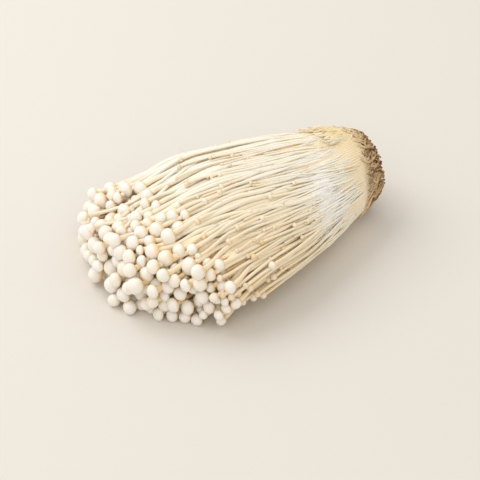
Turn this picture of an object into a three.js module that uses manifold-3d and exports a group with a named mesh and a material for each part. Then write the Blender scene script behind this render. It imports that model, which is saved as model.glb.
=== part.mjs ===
// A bunch of enoki mushrooms lying on its side: a fan of long thin stems that are grown together at the foot,
// a small round cap on each, and the slice of growing block that the bunch was cut away with.
//
// Lengths are in millimetres and +Z is up. The caps point along -X and the cut face of the block faces +X.
// The bunch is laid out by its growth: s runs from the cut face (s = 0) to the furthest cap. A place in the
// cross-section at s is given by rho (0 on the axis, 1 on the outside) and by the angle phi about the axis:
// phi = 0 points along +Y and phi = 90 degrees points up.

import * as THREE from "three";
import { mergeVertices } from "three/addons/utils/BufferGeometryUtils.js";
import Module from "manifold-3d";

const wasm = await Module();
wasm.setup();

// ---- Driving dimensions ----

// The whole bunch
const FRONT = 170; // furthest reach of the caps from the cut face
const FRONT_X = -83.11; // where that furthest reach stands
const AXIS_Y = -0.56; // the growth axis beside the origin
const FOOT_RADIUS = 23.5; // round foot, as wide as the neck of the bottle it grew in
const FAN_HALF_WIDTH = 60.5; // half width that the fan opens towards
const FAN_LENGTH = 64; // distance in which the fan does most of its opening
const FAN_POWER = 1.4; // above 1, the fan opens slowly at the foot
const TOP_HALF_HEIGHT = 26; // half height that the fan rises to
const RISE_LENGTH = 30; // distance in which it does most of its rising
const FRONT_DROOP = 9.5; // how much half height the front loses again as it sags
const DROOP_FROM = 95; // where the front starts to sag
const DROOP_LENGTH = 65; // distance in which it sags
const BELLY_SQUARENESS = 2.6; // superellipse power of the side that lies on the table, away from the round foot
const ROUND_LENGTH = 50; // distance in which the belly turns from round to that
const FLATTENED = 0.5; // how far the lowest stems and caps are pressed flat
const COLLAR_HEIGHT = 2.8; // fused stem bases that stand proud on the upper far side of the foot
const COLLAR_ANGLE = 1.3; // radians up from +Y
const COLLAR_AT = 18; // from the cut face
const COLLAR_LENGTH = 9; // distance in which it fades to either side

// Growing block
const BLOCK_LENGTH = 12;
const BLOCK_GAP = 0.3; // between the block and the foot of the bunch
const BLOCK_RIDGES = 40; // dry stem bases that have stayed on its side, with a furrow between each two
const BLOCK_STUBS = 26; // dry stem bases that curl off its side

// Stems and caps
const OUTER_MUSHROOMS = 48;
const INNER_MUSHROOMS = 40;
const SPREAD_AT = 60; // distance from the cut face at which the outer stems are spread evenly
const STEM_SIDES = 6;
const FOOT_STEM_RADIUS = 0.75;
const STEM_RADIUS = [1.15, 1.45]; // thinnest and thickest, near the cap
const CAP_RADIUS = [3.1, 4.5]; // smallest and largest
const STEM_SWELL_LENGTH = 90; // distance from the foot at which a stem is at its full thickness
const PACKED_END = 98; // the stems are packed side by side up to here, and stand apart beyond it
const CORE_END = 140; // how far the dense middle of the bunch reaches

// Where the caps end: a rounded front, cut back more on the -Y side
const FRONT_FALL_FAR = 0.0048; // per mm, on the +Y side
const FRONT_FALL_NEAR = 0.0102; // per mm, on the -Y side
const TOP_SETBACK = 34; // how much further back the caps of the upper outside stand
const TOP_NARROWNESS = 3; // power that draws this setback together about the top
const TOP_LEAN = 0.3; // radians that the most set-back caps are turned towards the +Y side
const RIM_SETBACK = 4; // how much further back those of the rest of the outside stand
const INNER_SETBACK = 8; // the most that those of the inside do, next to the rim

const SEED = 20477;

// ---- Seeded draws ----

/** A seeded generator of numbers from 0 to 1, the same on every run. */
function makeDraw(seed) {
  let state = seed;
  return () => {
    state = (state * 1664525 + 1013904223) % 4294967296;
    return state / 4294967296;
  };
}

const between = ([low, high], share) => low + (high - low) * share;
const smooth = (share) => {
  const t = Math.min(Math.max(share, 0), 1);
  return t * t * (3 - 2 * t);
};

// ---- The cross-section of the bunch ----

const opening = (s) => 1 - Math.exp(-((Math.max(s, 0) / FAN_LENGTH) ** FAN_POWER));
const halfWidth = (s) => FOOT_RADIUS + (FAN_HALF_WIDTH - FOOT_RADIUS) * opening(s);
const rise = (s) => (TOP_HALF_HEIGHT - FOOT_RADIUS) * (1 - Math.exp(-s / RISE_LENGTH));
const droop = (s) => FRONT_DROOP * smooth((s - DROOP_FROM) / DROOP_LENGTH);
const halfHeight = (s) => FOOT_RADIUS + rise(s) - droop(s);
const axisHeight = (s) => halfHeight(s) - FLATTENED;

/** How far the fused bases of the collar stand proud at phi and s. */
function collar(phi, s) {
  const fade = Math.exp(-(((s - COLLAR_AT) / COLLAR_LENGTH) ** 2));
  return COLLAR_HEIGHT * fade * Math.max(Math.cos(phi - COLLAR_ANGLE), 0) ** 2;
}

/** The point at rho and phi in the section at s, kept inset from the outside: y and z. */
function sectionPoint(rho, phi, s, inset = 0) {
  const squareness = 2 + (BELLY_SQUARENESS - 2) * smooth(s / ROUND_LENGTH);
  const power = Math.sin(phi) < 0 ? 2 / squareness : 1;
  const across = Math.sign(Math.cos(phi)) * Math.abs(Math.cos(phi)) ** power;
  const up = Math.sign(Math.sin(phi)) * Math.abs(Math.sin(phi)) ** power;
  const proud = collar(phi, s) - inset;
  return [rho * (halfWidth(s) + proud) * across, axisHeight(s) + rho * (halfHeight(s) + proud) * up];
}

/** Angles that stand at even distances along the outline of the section at s. */
function evenAngles(count, s) {
  const STEPS = 720;
  const angleAt = (step) => (step / STEPS) * 2 * Math.PI;
  const cornerAt = (step) => new THREE.Vector2(...sectionPoint(1, angleAt(step), s));
  const travelled = [0];
  for (let step = 1; step <= STEPS; step++) {
    travelled.push(travelled[step - 1] + cornerAt(step).distanceTo(cornerAt(step - 1)));
  }
  return Array.from({ length: count }, (_, i) =>
    angleAt(travelled.findIndex((length) => length >= (i / count) * travelled[STEPS])),
  );
}

/** How far the caps reach at the offset y from the axis. */
const frontAt = (y) => FRONT - (y > 0 ? FRONT_FALL_FAR : FRONT_FALL_NEAR) * y * y;

// ---- Mushrooms ----

/** One mushroom: its place in the section, its sizes and the middle of its cap (s, y, z). The cap is proud of
 * the others by a share of its radius where it lies on its neighbours' stems. */
function makeMushroom(rho, phi, setback, proud, drawn, draw) {
  const cap = between(CAP_RADIUS, draw());
  const stem = between(STEM_RADIUS, draw());
  let s = FRONT - setback;
  for (let turn = 0; turn < 4; turn++) s = frontAt(sectionPoint(rho, phi, s, cap)[0]) - cap - setback;
  const [y, z] = sectionPoint(rho, phi, s, cap - stem - proud * cap);
  return { rho, phi, cap, stem, drawn, tip: new THREE.Vector3(s, y, z), sway: draw(), swayPhase: draw() };
}

/** The mushrooms of the outside: evenly round the section, with caps further back on the upper side. Each is
 * drawn from where it leaves the packed half of the bunch. */
function outerMushrooms(draw) {
  return evenAngles(OUTER_MUSHROOMS, SPREAD_AT).map((angle, i) => {
    const phi = angle + (0.6 / OUTER_MUSHROOMS) * (draw() - 0.5) * Math.PI;
    const behind = i % 2 ? between([0.2, 0.5], draw()) : between([0.75, 1.1], draw());
    const topShare = Math.max(Math.sin(phi + TOP_LEAN), 0) ** TOP_NARROWNESS;
    const setback = (RIM_SETBACK + TOP_SETBACK * topShare) * behind;
    return makeMushroom(1, phi, setback, behind > 0.6 ? 0.7 : 0, PACKED_END - 4, draw);
  });
}

/** The mushrooms of the inside, in a sunflower spiral: only what stands out of the core is drawn. */
function innerMushrooms(draw) {
  const goldenAngle = Math.PI * (3 - Math.sqrt(5));
  return Array.from({ length: INNER_MUSHROOMS }, (_, k) => {
    const rho = 0.8 * Math.sqrt((k + 0.5) / INNER_MUSHROOMS);
    const setback = INNER_SETBACK * rho * rho * draw();
    return makeMushroom(rho, k * goldenAngle, setback, 0, CORE_END - 22, draw);
  });
}

/** Moves caps apart until none is in another, and keeps them on the table. */
function settleCaps(mushrooms) {
  const SETTLE_PASSES = 60;
  const CAP_SPACING = 1.04;
  const apart = new THREE.Vector3();
  for (let pass = 0; pass < SETTLE_PASSES; pass++) {
    mushrooms.forEach((one, i) => {
      for (const other of mushrooms.slice(i + 1)) {
        const reach = (one.cap + other.cap) * CAP_SPACING;
        const distance = apart.subVectors(one.tip, other.tip).length();
        if (distance >= reach) continue;
        apart.multiplyScalar((reach - distance) / (2 * distance));
        one.tip.add(apart);
        other.tip.sub(apart);
      }
    });
    for (const one of mushrooms) one.tip.z = Math.max(one.tip.z, one.cap - FLATTENED);
  }
}

/** A stem is thin at the foot and at its full thickness from STEM_SWELL_LENGTH on. */
const stemRadius = (stem, s) => FOOT_STEM_RADIUS + (stem - FOOT_STEM_RADIUS) * smooth(s / STEM_SWELL_LENGTH);

/** The centre line of a mushroom at s, in the part's own frame. Near the foot it is sunk a little, on the way it
 * sways from side to side, and near the tip it turns towards where its cap has settled. */
function stemPoint({ rho, phi, stem, tip, sway, swayPhase }, s) {
  const SWAY = 0.9;
  const ROOT_RHO = 0.93;
  const ROOT_LENGTH = 45;
  const share = s / tip.x;
  const rootRho = rho * between([ROOT_RHO, 1], smooth(s / ROOT_LENGTH));
  const [y, z] = sectionPoint(rootRho, phi, s, stem);
  const [endY, endZ] = sectionPoint(rho, phi, tip.x, stem);
  const pull = share ** 3;
  const drift = SWAY * share * (1 - share) * 4 * Math.sin(2 * Math.PI * (swayPhase + share * (0.6 + sway)));
  const height = z + (tip.z - endZ) * pull;
  return new THREE.Vector3(
    FRONT_X + FRONT - s,
    AXIS_Y + y + (tip.y - endY) * pull + drift,
    Math.max(height, stemRadius(stem, s) - FLATTENED),
  );
}

/** Where the stem of a mushroom meets its cap. */
const neckOf = ({ tip, cap }) => tip.x - 0.55 * cap;

/** The outline of a mushroom to be turned about its own axis: radius against s. */
function mushroomProfile(mushroom) {
  const { stem, cap, tip, drawn, rho } = mushroom;
  const neck = neckOf(mushroom);
  const rings = rho > 0.9 ? 2 : 1;
  const stemPart = Array.from({ length: rings + 1 }, (_, i) => {
    const s = drawn + ((neck - drawn) * i) / rings;
    return new THREE.Vector2(stemRadius(stem, s), s);
  });
  const capPart = [
    [0.92, -0.42],
    [0.92, 0.4],
    [0, 0.95],
  ].map(([across, along]) => new THREE.Vector2(across * cap, tip.x + along * cap));
  return [new THREE.Vector2(0, drawn), ...stemPart, ...capPart];
}

/** A turned shape whose corners (x, s, z) are put elsewhere by place(x, s, z, target), as a solid. */
function placedSolid(profile, sides, place) {
  const shape = new THREE.LatheGeometry(profile, sides);
  shape.deleteAttribute("uv");
  shape.deleteAttribute("normal");
  const merged = mergeVertices(shape, 1e-4);
  const corners = merged.getAttribute("position");
  const corner = new THREE.Vector3();
  for (let i = 0; i < corners.count; i++) {
    corner.fromBufferAttribute(corners, i);
    place(corner.x, corner.y, corner.z, corner);
    corners.setXYZ(i, corner.x, corner.y, corner.z);
  }
  return solidOf(merged);
}

/** A closed geometry as a manifold-3d solid. */
function solidOf(geometry) {
  return new wasm.Manifold(
    new wasm.Mesh({
      numProp: 3,
      vertProperties: new Float32Array(geometry.getAttribute("position").array),
      triVerts: new Uint32Array(geometry.index.array),
    }),
  );
}

/** A mushroom bent along its own centre line. Its cap stays straight on the end of the stem, and the front
 * ring of the cap is turned half a side from the back one, which makes it rounder. */
function mushroomSolid(mushroom) {
  const neck = neckOf(mushroom);
  const along = new THREE.Vector3();
  const aside = new THREE.Vector3();
  const upward = new THREE.Vector3();
  return placedSolid(mushroomProfile(mushroom), STEM_SIDES, (x, s, z, target) => {
    const at = Math.min(s, neck);
    const centre = stemPoint(mushroom, at);
    const twist = (Math.PI / STEM_SIDES) * (s > mushroom.tip.x ? 1 : 0);
    along.subVectors(stemPoint(mushroom, at + 1), stemPoint(mushroom, at - 1)).normalize();
    aside.set(0, 1, 0).addScaledVector(along, -along.y).normalize();
    upward.crossVectors(aside, along);
    target.copy(centre).addScaledVector(along, s - at);
    target.addScaledVector(aside, x * Math.cos(twist) + z * Math.sin(twist));
    target.addScaledVector(upward, z * Math.cos(twist) - x * Math.sin(twist));
  });
}

// ---- The packed half of the bunch ----

/** The stems of the outside side by side, from the foot to where they part: a ridge for each, with a valley
 * between it and the next. The ridges end round the free stems, which are a little slimmer and run on. */
function packedStems(outer) {
  const CREST = 1.15; // in stem radii out from the middle of the stem
  const SHOULDER = 0.6; // half width of the crest
  const VALLEY = [0.7, 1.8]; // in from the middle of the stem, at the foot and where the stems part
  const END_INSET = 4.4; // in millimetres: how deep the ridges end under the free stems
  const END_SHOULDER = 0.02; // in radians
  const start = BLOCK_LENGTH + BLOCK_GAP;
  const end = PACKED_END + 2;
  const sides = outer.length * 3;
  const profile = [
    new THREE.Vector2(0, start),
    ...[start, 25, 41, 59, 78, PACKED_END, end].map((s) => new THREE.Vector2(1, s)),
    new THREE.Vector2(0, end),
  ];
  const stemAt = (index) => outer[(index + outer.length) % outer.length];
  const across = new THREE.Vector3();
  const outward = new THREE.Vector3();

  /** A corner of the ridges at s: side 0 is in the valley before the stem, 1 and 2 are its shoulders. */
  function ridgeCorner(index, side, s, target) {
    const middle = stemPoint(stemAt(index), s);
    const last = stemPoint(stemAt(index - 1), s);
    const radius = stemRadius(stemAt(index).stem, s);
    across.subVectors(side === 0 ? middle : stemPoint(stemAt(index + 1), s), last).normalize();
    outward.set(0, across.z, -across.y);
    if (side === 0) {
      const depth = between(VALLEY, s / PACKED_END) * radius;
      target.addVectors(middle, last).multiplyScalar(0.5).addScaledVector(outward, -depth);
    } else {
      target.copy(middle).addScaledVector(outward, CREST * radius);
      target.addScaledVector(across, (side === 1 ? -SHOULDER : SHOULDER) * radius);
    }
  }

  /** The same corner where the ridges have ended. */
  function endCorner(index, side, target) {
    const { phi } = stemAt(index);
    const before = stemAt(index - 1).phi - (index === 0 ? 2 * Math.PI : 0);
    const at = [(phi + before) / 2, phi - END_SHOULDER, phi + END_SHOULDER][side];
    const [y, z] = sectionPoint(1, at, end, END_INSET);
    target.set(FRONT_X + FRONT - end, AXIS_Y + y, z);
  }

  return placedSolid(profile, sides, (x, s, z, target) => {
    const corner = Math.round((Math.atan2(z, x) / (2 * Math.PI) + 1) * sides) % sides;
    if (Math.hypot(x, z) < 0.5) target.set(FRONT_X + FRONT - s, AXIS_Y, axisHeight(s));
    else if (s > PACKED_END) endCorner(Math.floor(corner / 3), corner % 3, target);
    else ridgeCorner(Math.floor(corner / 3), corner % 3, s, target);
  });
}

// ---- The dense middle of the bunch, which the inner mushrooms stand out of ----

/** How far under the outside of the bunch the core lies at s. */
const coreInset = (s) => 4 + 7 * smooth((s - 85) / 60);

function coreSolid() {
  const CORE_SIDES = 18;
  const stations = [PACKED_END - 20, 112, 124, CORE_END - 8];
  const profile = [
    new THREE.Vector2(0, stations[0]),
    ...stations.map((s) => new THREE.Vector2(1, s)),
    new THREE.Vector2(0.6, CORE_END),
    new THREE.Vector2(0, CORE_END + 3),
  ];
  return placedSolid(profile, CORE_SIDES, (x, s, z, target) => {
    const [y, height] = sectionPoint(Math.hypot(x, z), Math.atan2(z, x), s, coreInset(s));
    target.set(FRONT_X + FRONT - s, AXIS_Y + y, height);
  });
}

// ---- The slice of growing block ----

/** The block carries on the section of the bunch down to the cut face, with furrows and lumps on its side. */
function blockBody() {
  const BLOCK_SIDES = BLOCK_RIDGES * 2;
  const FURROW_DEPTH = 0.04; // as a share of the radius
  const profile = [
    [0, 1.4],
    [0.4, 1.0],
    [0.74, 0.5],
    [0.94, 0.8],
    [1.01, 3.0],
    [1.03, 7.0],
    [0.99, BLOCK_LENGTH],
    [0, BLOCK_LENGTH],
  ].map(([rho, s]) => new THREE.Vector2(rho, s));
  return placedSolid(profile, BLOCK_SIDES, (x, s, z, target) => {
    const rho = Math.hypot(x, z);
    const phi = Math.atan2(z, x);
    const furrow = 0.5 + 0.5 * Math.cos(BLOCK_RIDGES * phi);
    const lump = 0.02 * Math.sin(5 * phi + 1.3) + 0.015 * Math.sin(9 * phi + s);
    const crumb = s < 2 ? 0.5 * rho * Math.sin(7 * phi + 9 * rho) : 0;
    const [y, height] = sectionPoint(rho > 0.9 ? rho + lump - FURROW_DEPTH * furrow : rho, phi, s);
    target.set(FRONT_X + FRONT - s - crumb, AXIS_Y + y, height);
  });
}

/** A dry stem base: rooted in the side of the block, and curling up and round at its free end. */
function stubSolid(phi, draw) {
  const root = between([2.5, 5.5], draw());
  const length = between([4, 6], draw());
  const lift = between([1.2, 2.6], draw());
  const turn = between([-0.12, 0.12], draw());
  const profile = [
    [0, 0],
    [1.1, 0.05],
    [0.9, 0.4],
    [0.6, 0.8],
    [0, 1],
  ].map(([radius, share]) => new THREE.Vector2(radius, share));
  const STUB_SIDES = 5;
  return placedSolid(profile, STUB_SIDES, (across, share, out, target) => {
    const s = root + length * share;
    const [y, z] = sectionPoint(0.98, phi + turn * share * share, s, -lift * share * share);
    target.set(
      FRONT_X + FRONT - s,
      AXIS_Y + y + across * Math.sin(phi) + out * Math.cos(phi),
      z - across * Math.cos(phi) + out * Math.sin(phi),
    );
  });
}

/** The block with its dry stem bases. */
function blockSolid(draw) {
  const stubs = Array.from({ length: BLOCK_STUBS }, (_, i) =>
    stubSolid(((i + 0.6 * draw()) / BLOCK_STUBS) * 2 * Math.PI, draw),
  );
  return wasm.Manifold.union([blockBody(), ...stubs]);
}

// ---- Assembly ----

/** What is over the table: a solid without anything below z = 0. */
function overTable(solid) {
  const ROOM = 400;
  const room = new THREE.BoxGeometry(ROOM, ROOM, ROOM).translate(0, 0, ROOM / 2);
  room.deleteAttribute("uv");
  room.deleteAttribute("normal");
  return solid.intersect(solidOf(mergeVertices(room)));
}

/** A solid as a named mesh. */
function meshOf(solid, name, material) {
  const { numProp, vertProperties, triVerts } = solid.getMesh();
  const positions = new THREE.BufferAttribute(vertProperties, numProp);
  const geometry = new THREE.BufferGeometry().setAttribute("position", positions);
  geometry.setIndex(new THREE.BufferAttribute(triVerts, 1));
  geometry.computeVertexNormals();
  const mesh = new THREE.Mesh(geometry, material);
  mesh.name = name;
  return mesh;
}

const draw = makeDraw(SEED);
const outer = outerMushrooms(draw);
const mushrooms = [...outer, ...innerMushrooms(draw)];
settleCaps(mushrooms);

const ivory = new THREE.MeshStandardMaterial({ color: 0xf3ead2, roughness: 0.45, metalness: 0 });
const brown = new THREE.MeshStandardMaterial({ color: 0x9c7a45, roughness: 0.9, metalness: 0 });

const bunch = wasm.Manifold.union([packedStems(outer), coreSolid(), ...mushrooms.map(mushroomSolid)]);

const group = new THREE.Group();
group.add(meshOf(overTable(bunch), "mushroom_bunch", ivory));
group.add(meshOf(overTable(blockSolid(draw)), "growing_block", brown));

export default group;
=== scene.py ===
"""A bunch of enoki mushrooms lying on its side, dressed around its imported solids.

The bunch is laid out by its growth. A place in it is given by s, the distance from the cut face of the
growing block, by rho, 0 on the axis and 1 on the outside, and by phi, the angle about the axis: 0 is the far
side (+Y) and a quarter turn is up. All lengths are in metres.
"""

import logging
import math
from dataclasses import dataclass, field
from enum import Enum
from typing import Callable, Union

import bpy
import numpy as np
from mathutils import Matrix, Vector

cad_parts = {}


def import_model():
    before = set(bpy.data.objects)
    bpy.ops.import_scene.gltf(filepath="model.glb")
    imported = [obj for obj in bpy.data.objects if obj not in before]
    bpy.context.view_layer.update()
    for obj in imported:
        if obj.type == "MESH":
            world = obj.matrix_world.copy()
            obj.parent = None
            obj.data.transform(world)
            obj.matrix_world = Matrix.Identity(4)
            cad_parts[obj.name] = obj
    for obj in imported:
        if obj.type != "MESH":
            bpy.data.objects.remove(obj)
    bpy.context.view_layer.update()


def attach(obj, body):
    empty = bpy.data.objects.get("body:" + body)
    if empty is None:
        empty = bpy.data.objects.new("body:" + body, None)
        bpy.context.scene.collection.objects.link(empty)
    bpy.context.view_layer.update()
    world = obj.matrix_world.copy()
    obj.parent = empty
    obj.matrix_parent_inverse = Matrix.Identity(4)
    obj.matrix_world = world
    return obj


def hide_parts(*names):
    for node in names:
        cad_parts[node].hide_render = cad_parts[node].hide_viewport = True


MM = 0.001
BODY = "root"
BUNCH_NODE = "mushroom_bunch"
BLOCK_NODE = "growing_block"
CLEAR = 0.02 * MM  # how far every piece stays above the table
GRAIN_LENGTH = 16 * MM  # how far apart the spots of the grain are along a strand
GOLDEN_ANGLE = math.pi * (3 - math.sqrt(5))

Marks = dict[str, np.ndarray]
Colour = tuple[float, float, float]
Value = Union[bpy.types.NodeSocket, float, Colour]

log = logging.getLogger("enoki")


# ---------------------------------------------------------------- numbers


class Draw:
    """A seeded generator of numbers from 0 to 1, the same on every run."""

    MULTIPLIER = 1664525
    STEP = 1013904223
    RANGE = 4294967296

    def __init__(self, seed: int) -> None:
        """Starts the generator.

        Args:
            seed: the number that it starts from.
        """
        self.state = seed

    def __call__(self) -> float:
        """Returns the next number."""
        self.state = (self.state * self.MULTIPLIER + self.STEP) % self.RANGE
        return self.state / self.RANGE

    def between(self, low: float, high: float) -> float:
        """Returns the next number, spread from low to high."""
        return low + (high - low) * self()

    def passed_over(self) -> None:
        """Leaves one number unused, so that the mushrooms after this one stay as they are."""
        self()


def smooth(share: np.ndarray | float) -> np.ndarray:
    """Returns an even step from 0 to 1 as share goes from 0 to 1."""
    t = np.clip(share, 0, 1)
    return t * t * (3 - 2 * t)


def fade(distance: np.ndarray | float, length: float) -> np.ndarray:
    """Returns 1 at no distance, falling away over length on both sides."""
    return np.exp(-((np.asarray(distance) / length) ** 2))


def unit(vectors: np.ndarray) -> np.ndarray:
    """Returns vectors at length 1, along the last axis."""
    return vectors / np.maximum(np.linalg.norm(vectors, axis=-1, keepdims=True), 1e-12)


def above_table(points: np.ndarray) -> np.ndarray:
    """Returns points, raised to just above the table where they were lower."""
    points[..., 2] = np.maximum(points[..., 2], CLEAR)
    return points


# ---------------------------------------------------------------- the form of the bunch


class Layer(Enum):
    """Where in the bunch a mushroom stands."""

    OUTER = "outer"
    OVER = "over"
    SECOND = "second"
    INNER = "inner"


@dataclass(frozen=True)
class Habit:
    """How the bunch has grown: the driving dimensions of its form, and the places worked out from them."""

    front: float = 170 * MM
    front_x: float = -83.11 * MM
    axis_y: float = -0.56 * MM
    foot_radius: float = 23.5 * MM
    fan_half_width: float = 60.5 * MM
    fan_length: float = 64 * MM
    fan_power: float = 1.4
    top_half_height: float = 26 * MM
    rise_length: float = 30 * MM
    front_droop: float = 9.5 * MM
    droop_from: float = 95 * MM
    droop_length: float = 65 * MM
    belly_squareness: float = 2.6
    round_length: float = 50 * MM
    flattened: float = 0.5 * MM
    collar_height: float = 2.8 * MM
    collar_angle: float = 1.3
    collar_at: float = 18 * MM
    collar_length: float = 9 * MM
    block_length: float = 12 * MM
    worn: float = 0.05
    worn_below: float = 0.12
    worn_angle: float = 4.4
    fall_far: float = 4.8
    fall_near: float = 10.2
    top_setback: float = 34 * MM
    top_narrowness: float = 3
    top_lean: float = 0.3
    rim_setback: float = 4 * MM
    inner_setback: float = 8 * MM

    def half_width(self, s: np.ndarray) -> np.ndarray:
        """Returns half the width of the section at s."""
        opening = 1 - np.exp(-((np.maximum(s, 0) / self.fan_length) ** self.fan_power))
        return self.foot_radius + (self.fan_half_width - self.foot_radius) * opening

    def half_height(self, s: np.ndarray) -> np.ndarray:
        """Returns half the height of the section at s."""
        rise = (self.top_half_height - self.foot_radius) * (1 - np.exp(-s / self.rise_length))
        return self.foot_radius + rise - self.front_droop * smooth((s - self.droop_from) / self.droop_length)

    def axis_height(self, s: np.ndarray) -> np.ndarray:
        """Returns the height of the axis at s."""
        return self.half_height(s) - self.flattened

    def squareness(self, s: np.ndarray) -> np.ndarray:
        """Returns the superellipse power of the belly at s."""
        return 2 + (self.belly_squareness - 2) * smooth(s / self.round_length)

    def collar(self, phi: np.ndarray, s: np.ndarray) -> np.ndarray:
        """Returns how far the fused stem bases on the upper far side stand proud."""
        side = np.maximum(np.cos(phi - self.collar_angle), 0) ** 2
        return self.collar_height * fade(s - self.collar_at, self.collar_length) * side

    def section(
        self, rho: np.ndarray, phi: np.ndarray, s: np.ndarray, inset: np.ndarray = 0.0
    ) -> tuple[np.ndarray, np.ndarray]:
        """Finds a place in the section at s.

        Args:
            rho: share of the way from the axis to the outside.
            phi: angle about the axis.
            s: distance from the cut face.
            inset: how far inside the outside a rho of 1 is.

        Returns:
            The offset from the axis along Y, and the height.
        """
        power = np.where(np.sin(phi) < 0, 2 / self.squareness(s), 1.0)
        across = np.sign(np.cos(phi)) * np.abs(np.cos(phi)) ** power
        up = np.sign(np.sin(phi)) * np.abs(np.sin(phi)) ** power
        proud = self.collar(phi, s) - inset
        y = rho * (self.half_width(s) + proud) * across
        return y, self.axis_height(s) + rho * (self.half_height(s) + proud) * up

    def front_at(self, y: np.ndarray) -> np.ndarray:
        """Returns how far the caps reach at the offset y from the axis."""
        return self.front - np.where(np.asarray(y) > 0, self.fall_far, self.fall_near) * np.asarray(y) ** 2

    def place(self, s: np.ndarray, y: np.ndarray, z: np.ndarray) -> np.ndarray:
        """Returns the point in the frame at s, the offset y and the height z."""
        return np.stack(np.broadcast_arrays(self.front_x + self.front - s, self.axis_y + y, z), -1)

    def outward(self, s: np.ndarray, phi: np.ndarray) -> np.ndarray:
        """Finds the direction that the outside of the bunch faces.

        Args:
            s: distances from the cut face.
            phi: angles about the axis.

        Returns:
            The directions.
        """
        step = 0.01
        ahead, behind = (self.place(s, *self.section(1.0, phi + turn, s)) for turn in (step, -step))
        return unit(np.cross(ahead - behind, np.array([1.0, 0, 0])))

    def even_angles(self, count: int, s: float) -> list[float]:
        """Spreads angles evenly along the outline of a section.

        Args:
            count: how many.
            s: where the section is.

        Returns:
            The angles, from 0 on.
        """
        steps = 720
        angles = np.arange(steps + 1) / steps * 2 * math.pi
        outline = np.stack(self.section(1.0, angles, s), -1)
        travelled = np.concatenate([[0], np.cumsum(np.linalg.norm(np.diff(outline, axis=0), axis=1))])
        return [float(angles[np.argmax(travelled >= i / count * travelled[-1])]) for i in range(count)]

    def rounded(self, s: np.ndarray, phi: np.ndarray) -> np.ndarray:
        """Returns the width that is left at the worn cut end, as a share: least of all underneath."""
        worn = self.worn + self.worn_below * np.maximum(np.cos(phi - self.worn_angle), 0)
        return 1 - worn * np.clip(1 - s / self.block_length, 0, 1) ** 2

    def held_inside(
        self, y: np.ndarray, z: np.ndarray, s: np.ndarray, inset: np.ndarray
    ) -> tuple[np.ndarray, np.ndarray]:
        """Brings points of the section at s back to where it ends.

        Args:
            y: offsets from the axis.
            z: heights.
            s: distance from the cut face.
            inset: how far inside the outside each has to be.

        Returns:
            The offsets and the heights, nearer to the axis where they were outside.
        """
        up = z - self.axis_height(s)
        power = np.where(up < 0, self.squareness(s), 2.0)
        width = np.maximum(self.half_width(s) - inset, MM)
        height = np.maximum(self.half_height(s) - inset, MM)
        reach = (np.abs(y / width) ** power + np.abs(up / height) ** power) ** (1 / power)
        back = 1 / np.maximum(reach, 1)
        return y * back, self.axis_height(s) + up * back


@dataclass
class Mushroom:
    """One mushroom of the bunch: its place in the section, its sizes, and where the middle of its cap is."""

    layer: Layer
    rho: float
    phi: float
    cap: float
    stem: float
    tip: np.ndarray
    sway: float
    phase: float
    start: float
    foot: float = 0.75 * MM
    rides: float = 0.0
    crosses: float = 0.0

    @property
    def neck(self) -> float:
        """Where the stem meets the cap."""
        return float(self.tip[0] - 0.55 * self.cap)


@dataclass(frozen=True)
class Straggler:
    """A small mushroom that ends among the stems, on the outside of the bunch."""

    s: float
    degrees: float
    cap: float
    crosses: float = 0.06
    rides: float = 0.8


STRAGGLERS = (
    Straggler(116, 100, 1.9),
    Straggler(128, 91, 2.4),
    Straggler(130, 98, 3.1),
    Straggler(116, 81, 1.3),
    Straggler(126, 108, 1.4),
    Straggler(128, 119, 1.2),
    Straggler(119, 132, 1.3),
    Straggler(111, 128, 1.1),
    Straggler(96, 132, 1.1),
    Straggler(84, 120, 1.0),
    Straggler(80, 129, 0.9),
    Straggler(80, 149, 1.0),
    Straggler(78, 163, 0.9),
    Straggler(141, 127, 2.3),
    Straggler(111, 154, 1.3),
    Straggler(124, 168, 1.7),
    Straggler(135, 177, 2.6),
    Straggler(140, 165, 2.6),
    Straggler(134, 160, 1.8),
    Straggler(122, 196, 2.2, crosses=-0.16, rides=1.8),
    Straggler(143, 34, 3.0),
    Straggler(168, 56, 2.7),
    Straggler(171, 70, 2.6),
    Straggler(166, 47, 3.1),
    Straggler(70, 38, 0.9, rides=1.6),
    Straggler(81, 47, 1.0, rides=1.6),
    Straggler(105, 52, 1.1, rides=1.6),
    Straggler(93, 66, 0.9),
    Straggler(99, 88, 1.0),
    Straggler(104, 98, 1.2, crosses=-0.32, rides=2.0),
    Straggler(107, 101, 1.2, crosses=-0.3, rides=2.2),
    Straggler(88, 104, 0.9, crosses=0.2),
    Straggler(66, 118, 0.8),
    Straggler(62, 141, 0.8),
    Straggler(71, 152, 0.9),
    Straggler(92, 142, 0.9),
    Straggler(102, 166, 1.1),
    Straggler(96, 181, 1.0, rides=1.4),
    Straggler(104, 186, 1.1, rides=1.6),
    Straggler(88, 190, 0.9, rides=1.5),
    Straggler(112, 12, 1.4),
    Straggler(124, 350, 1.8),
    Straggler(98, 22, 1.1),
    Straggler(118, 300, 1.6),
    Straggler(108, 240, 1.5),
    Straggler(126, 262, 2.0),
)


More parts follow.
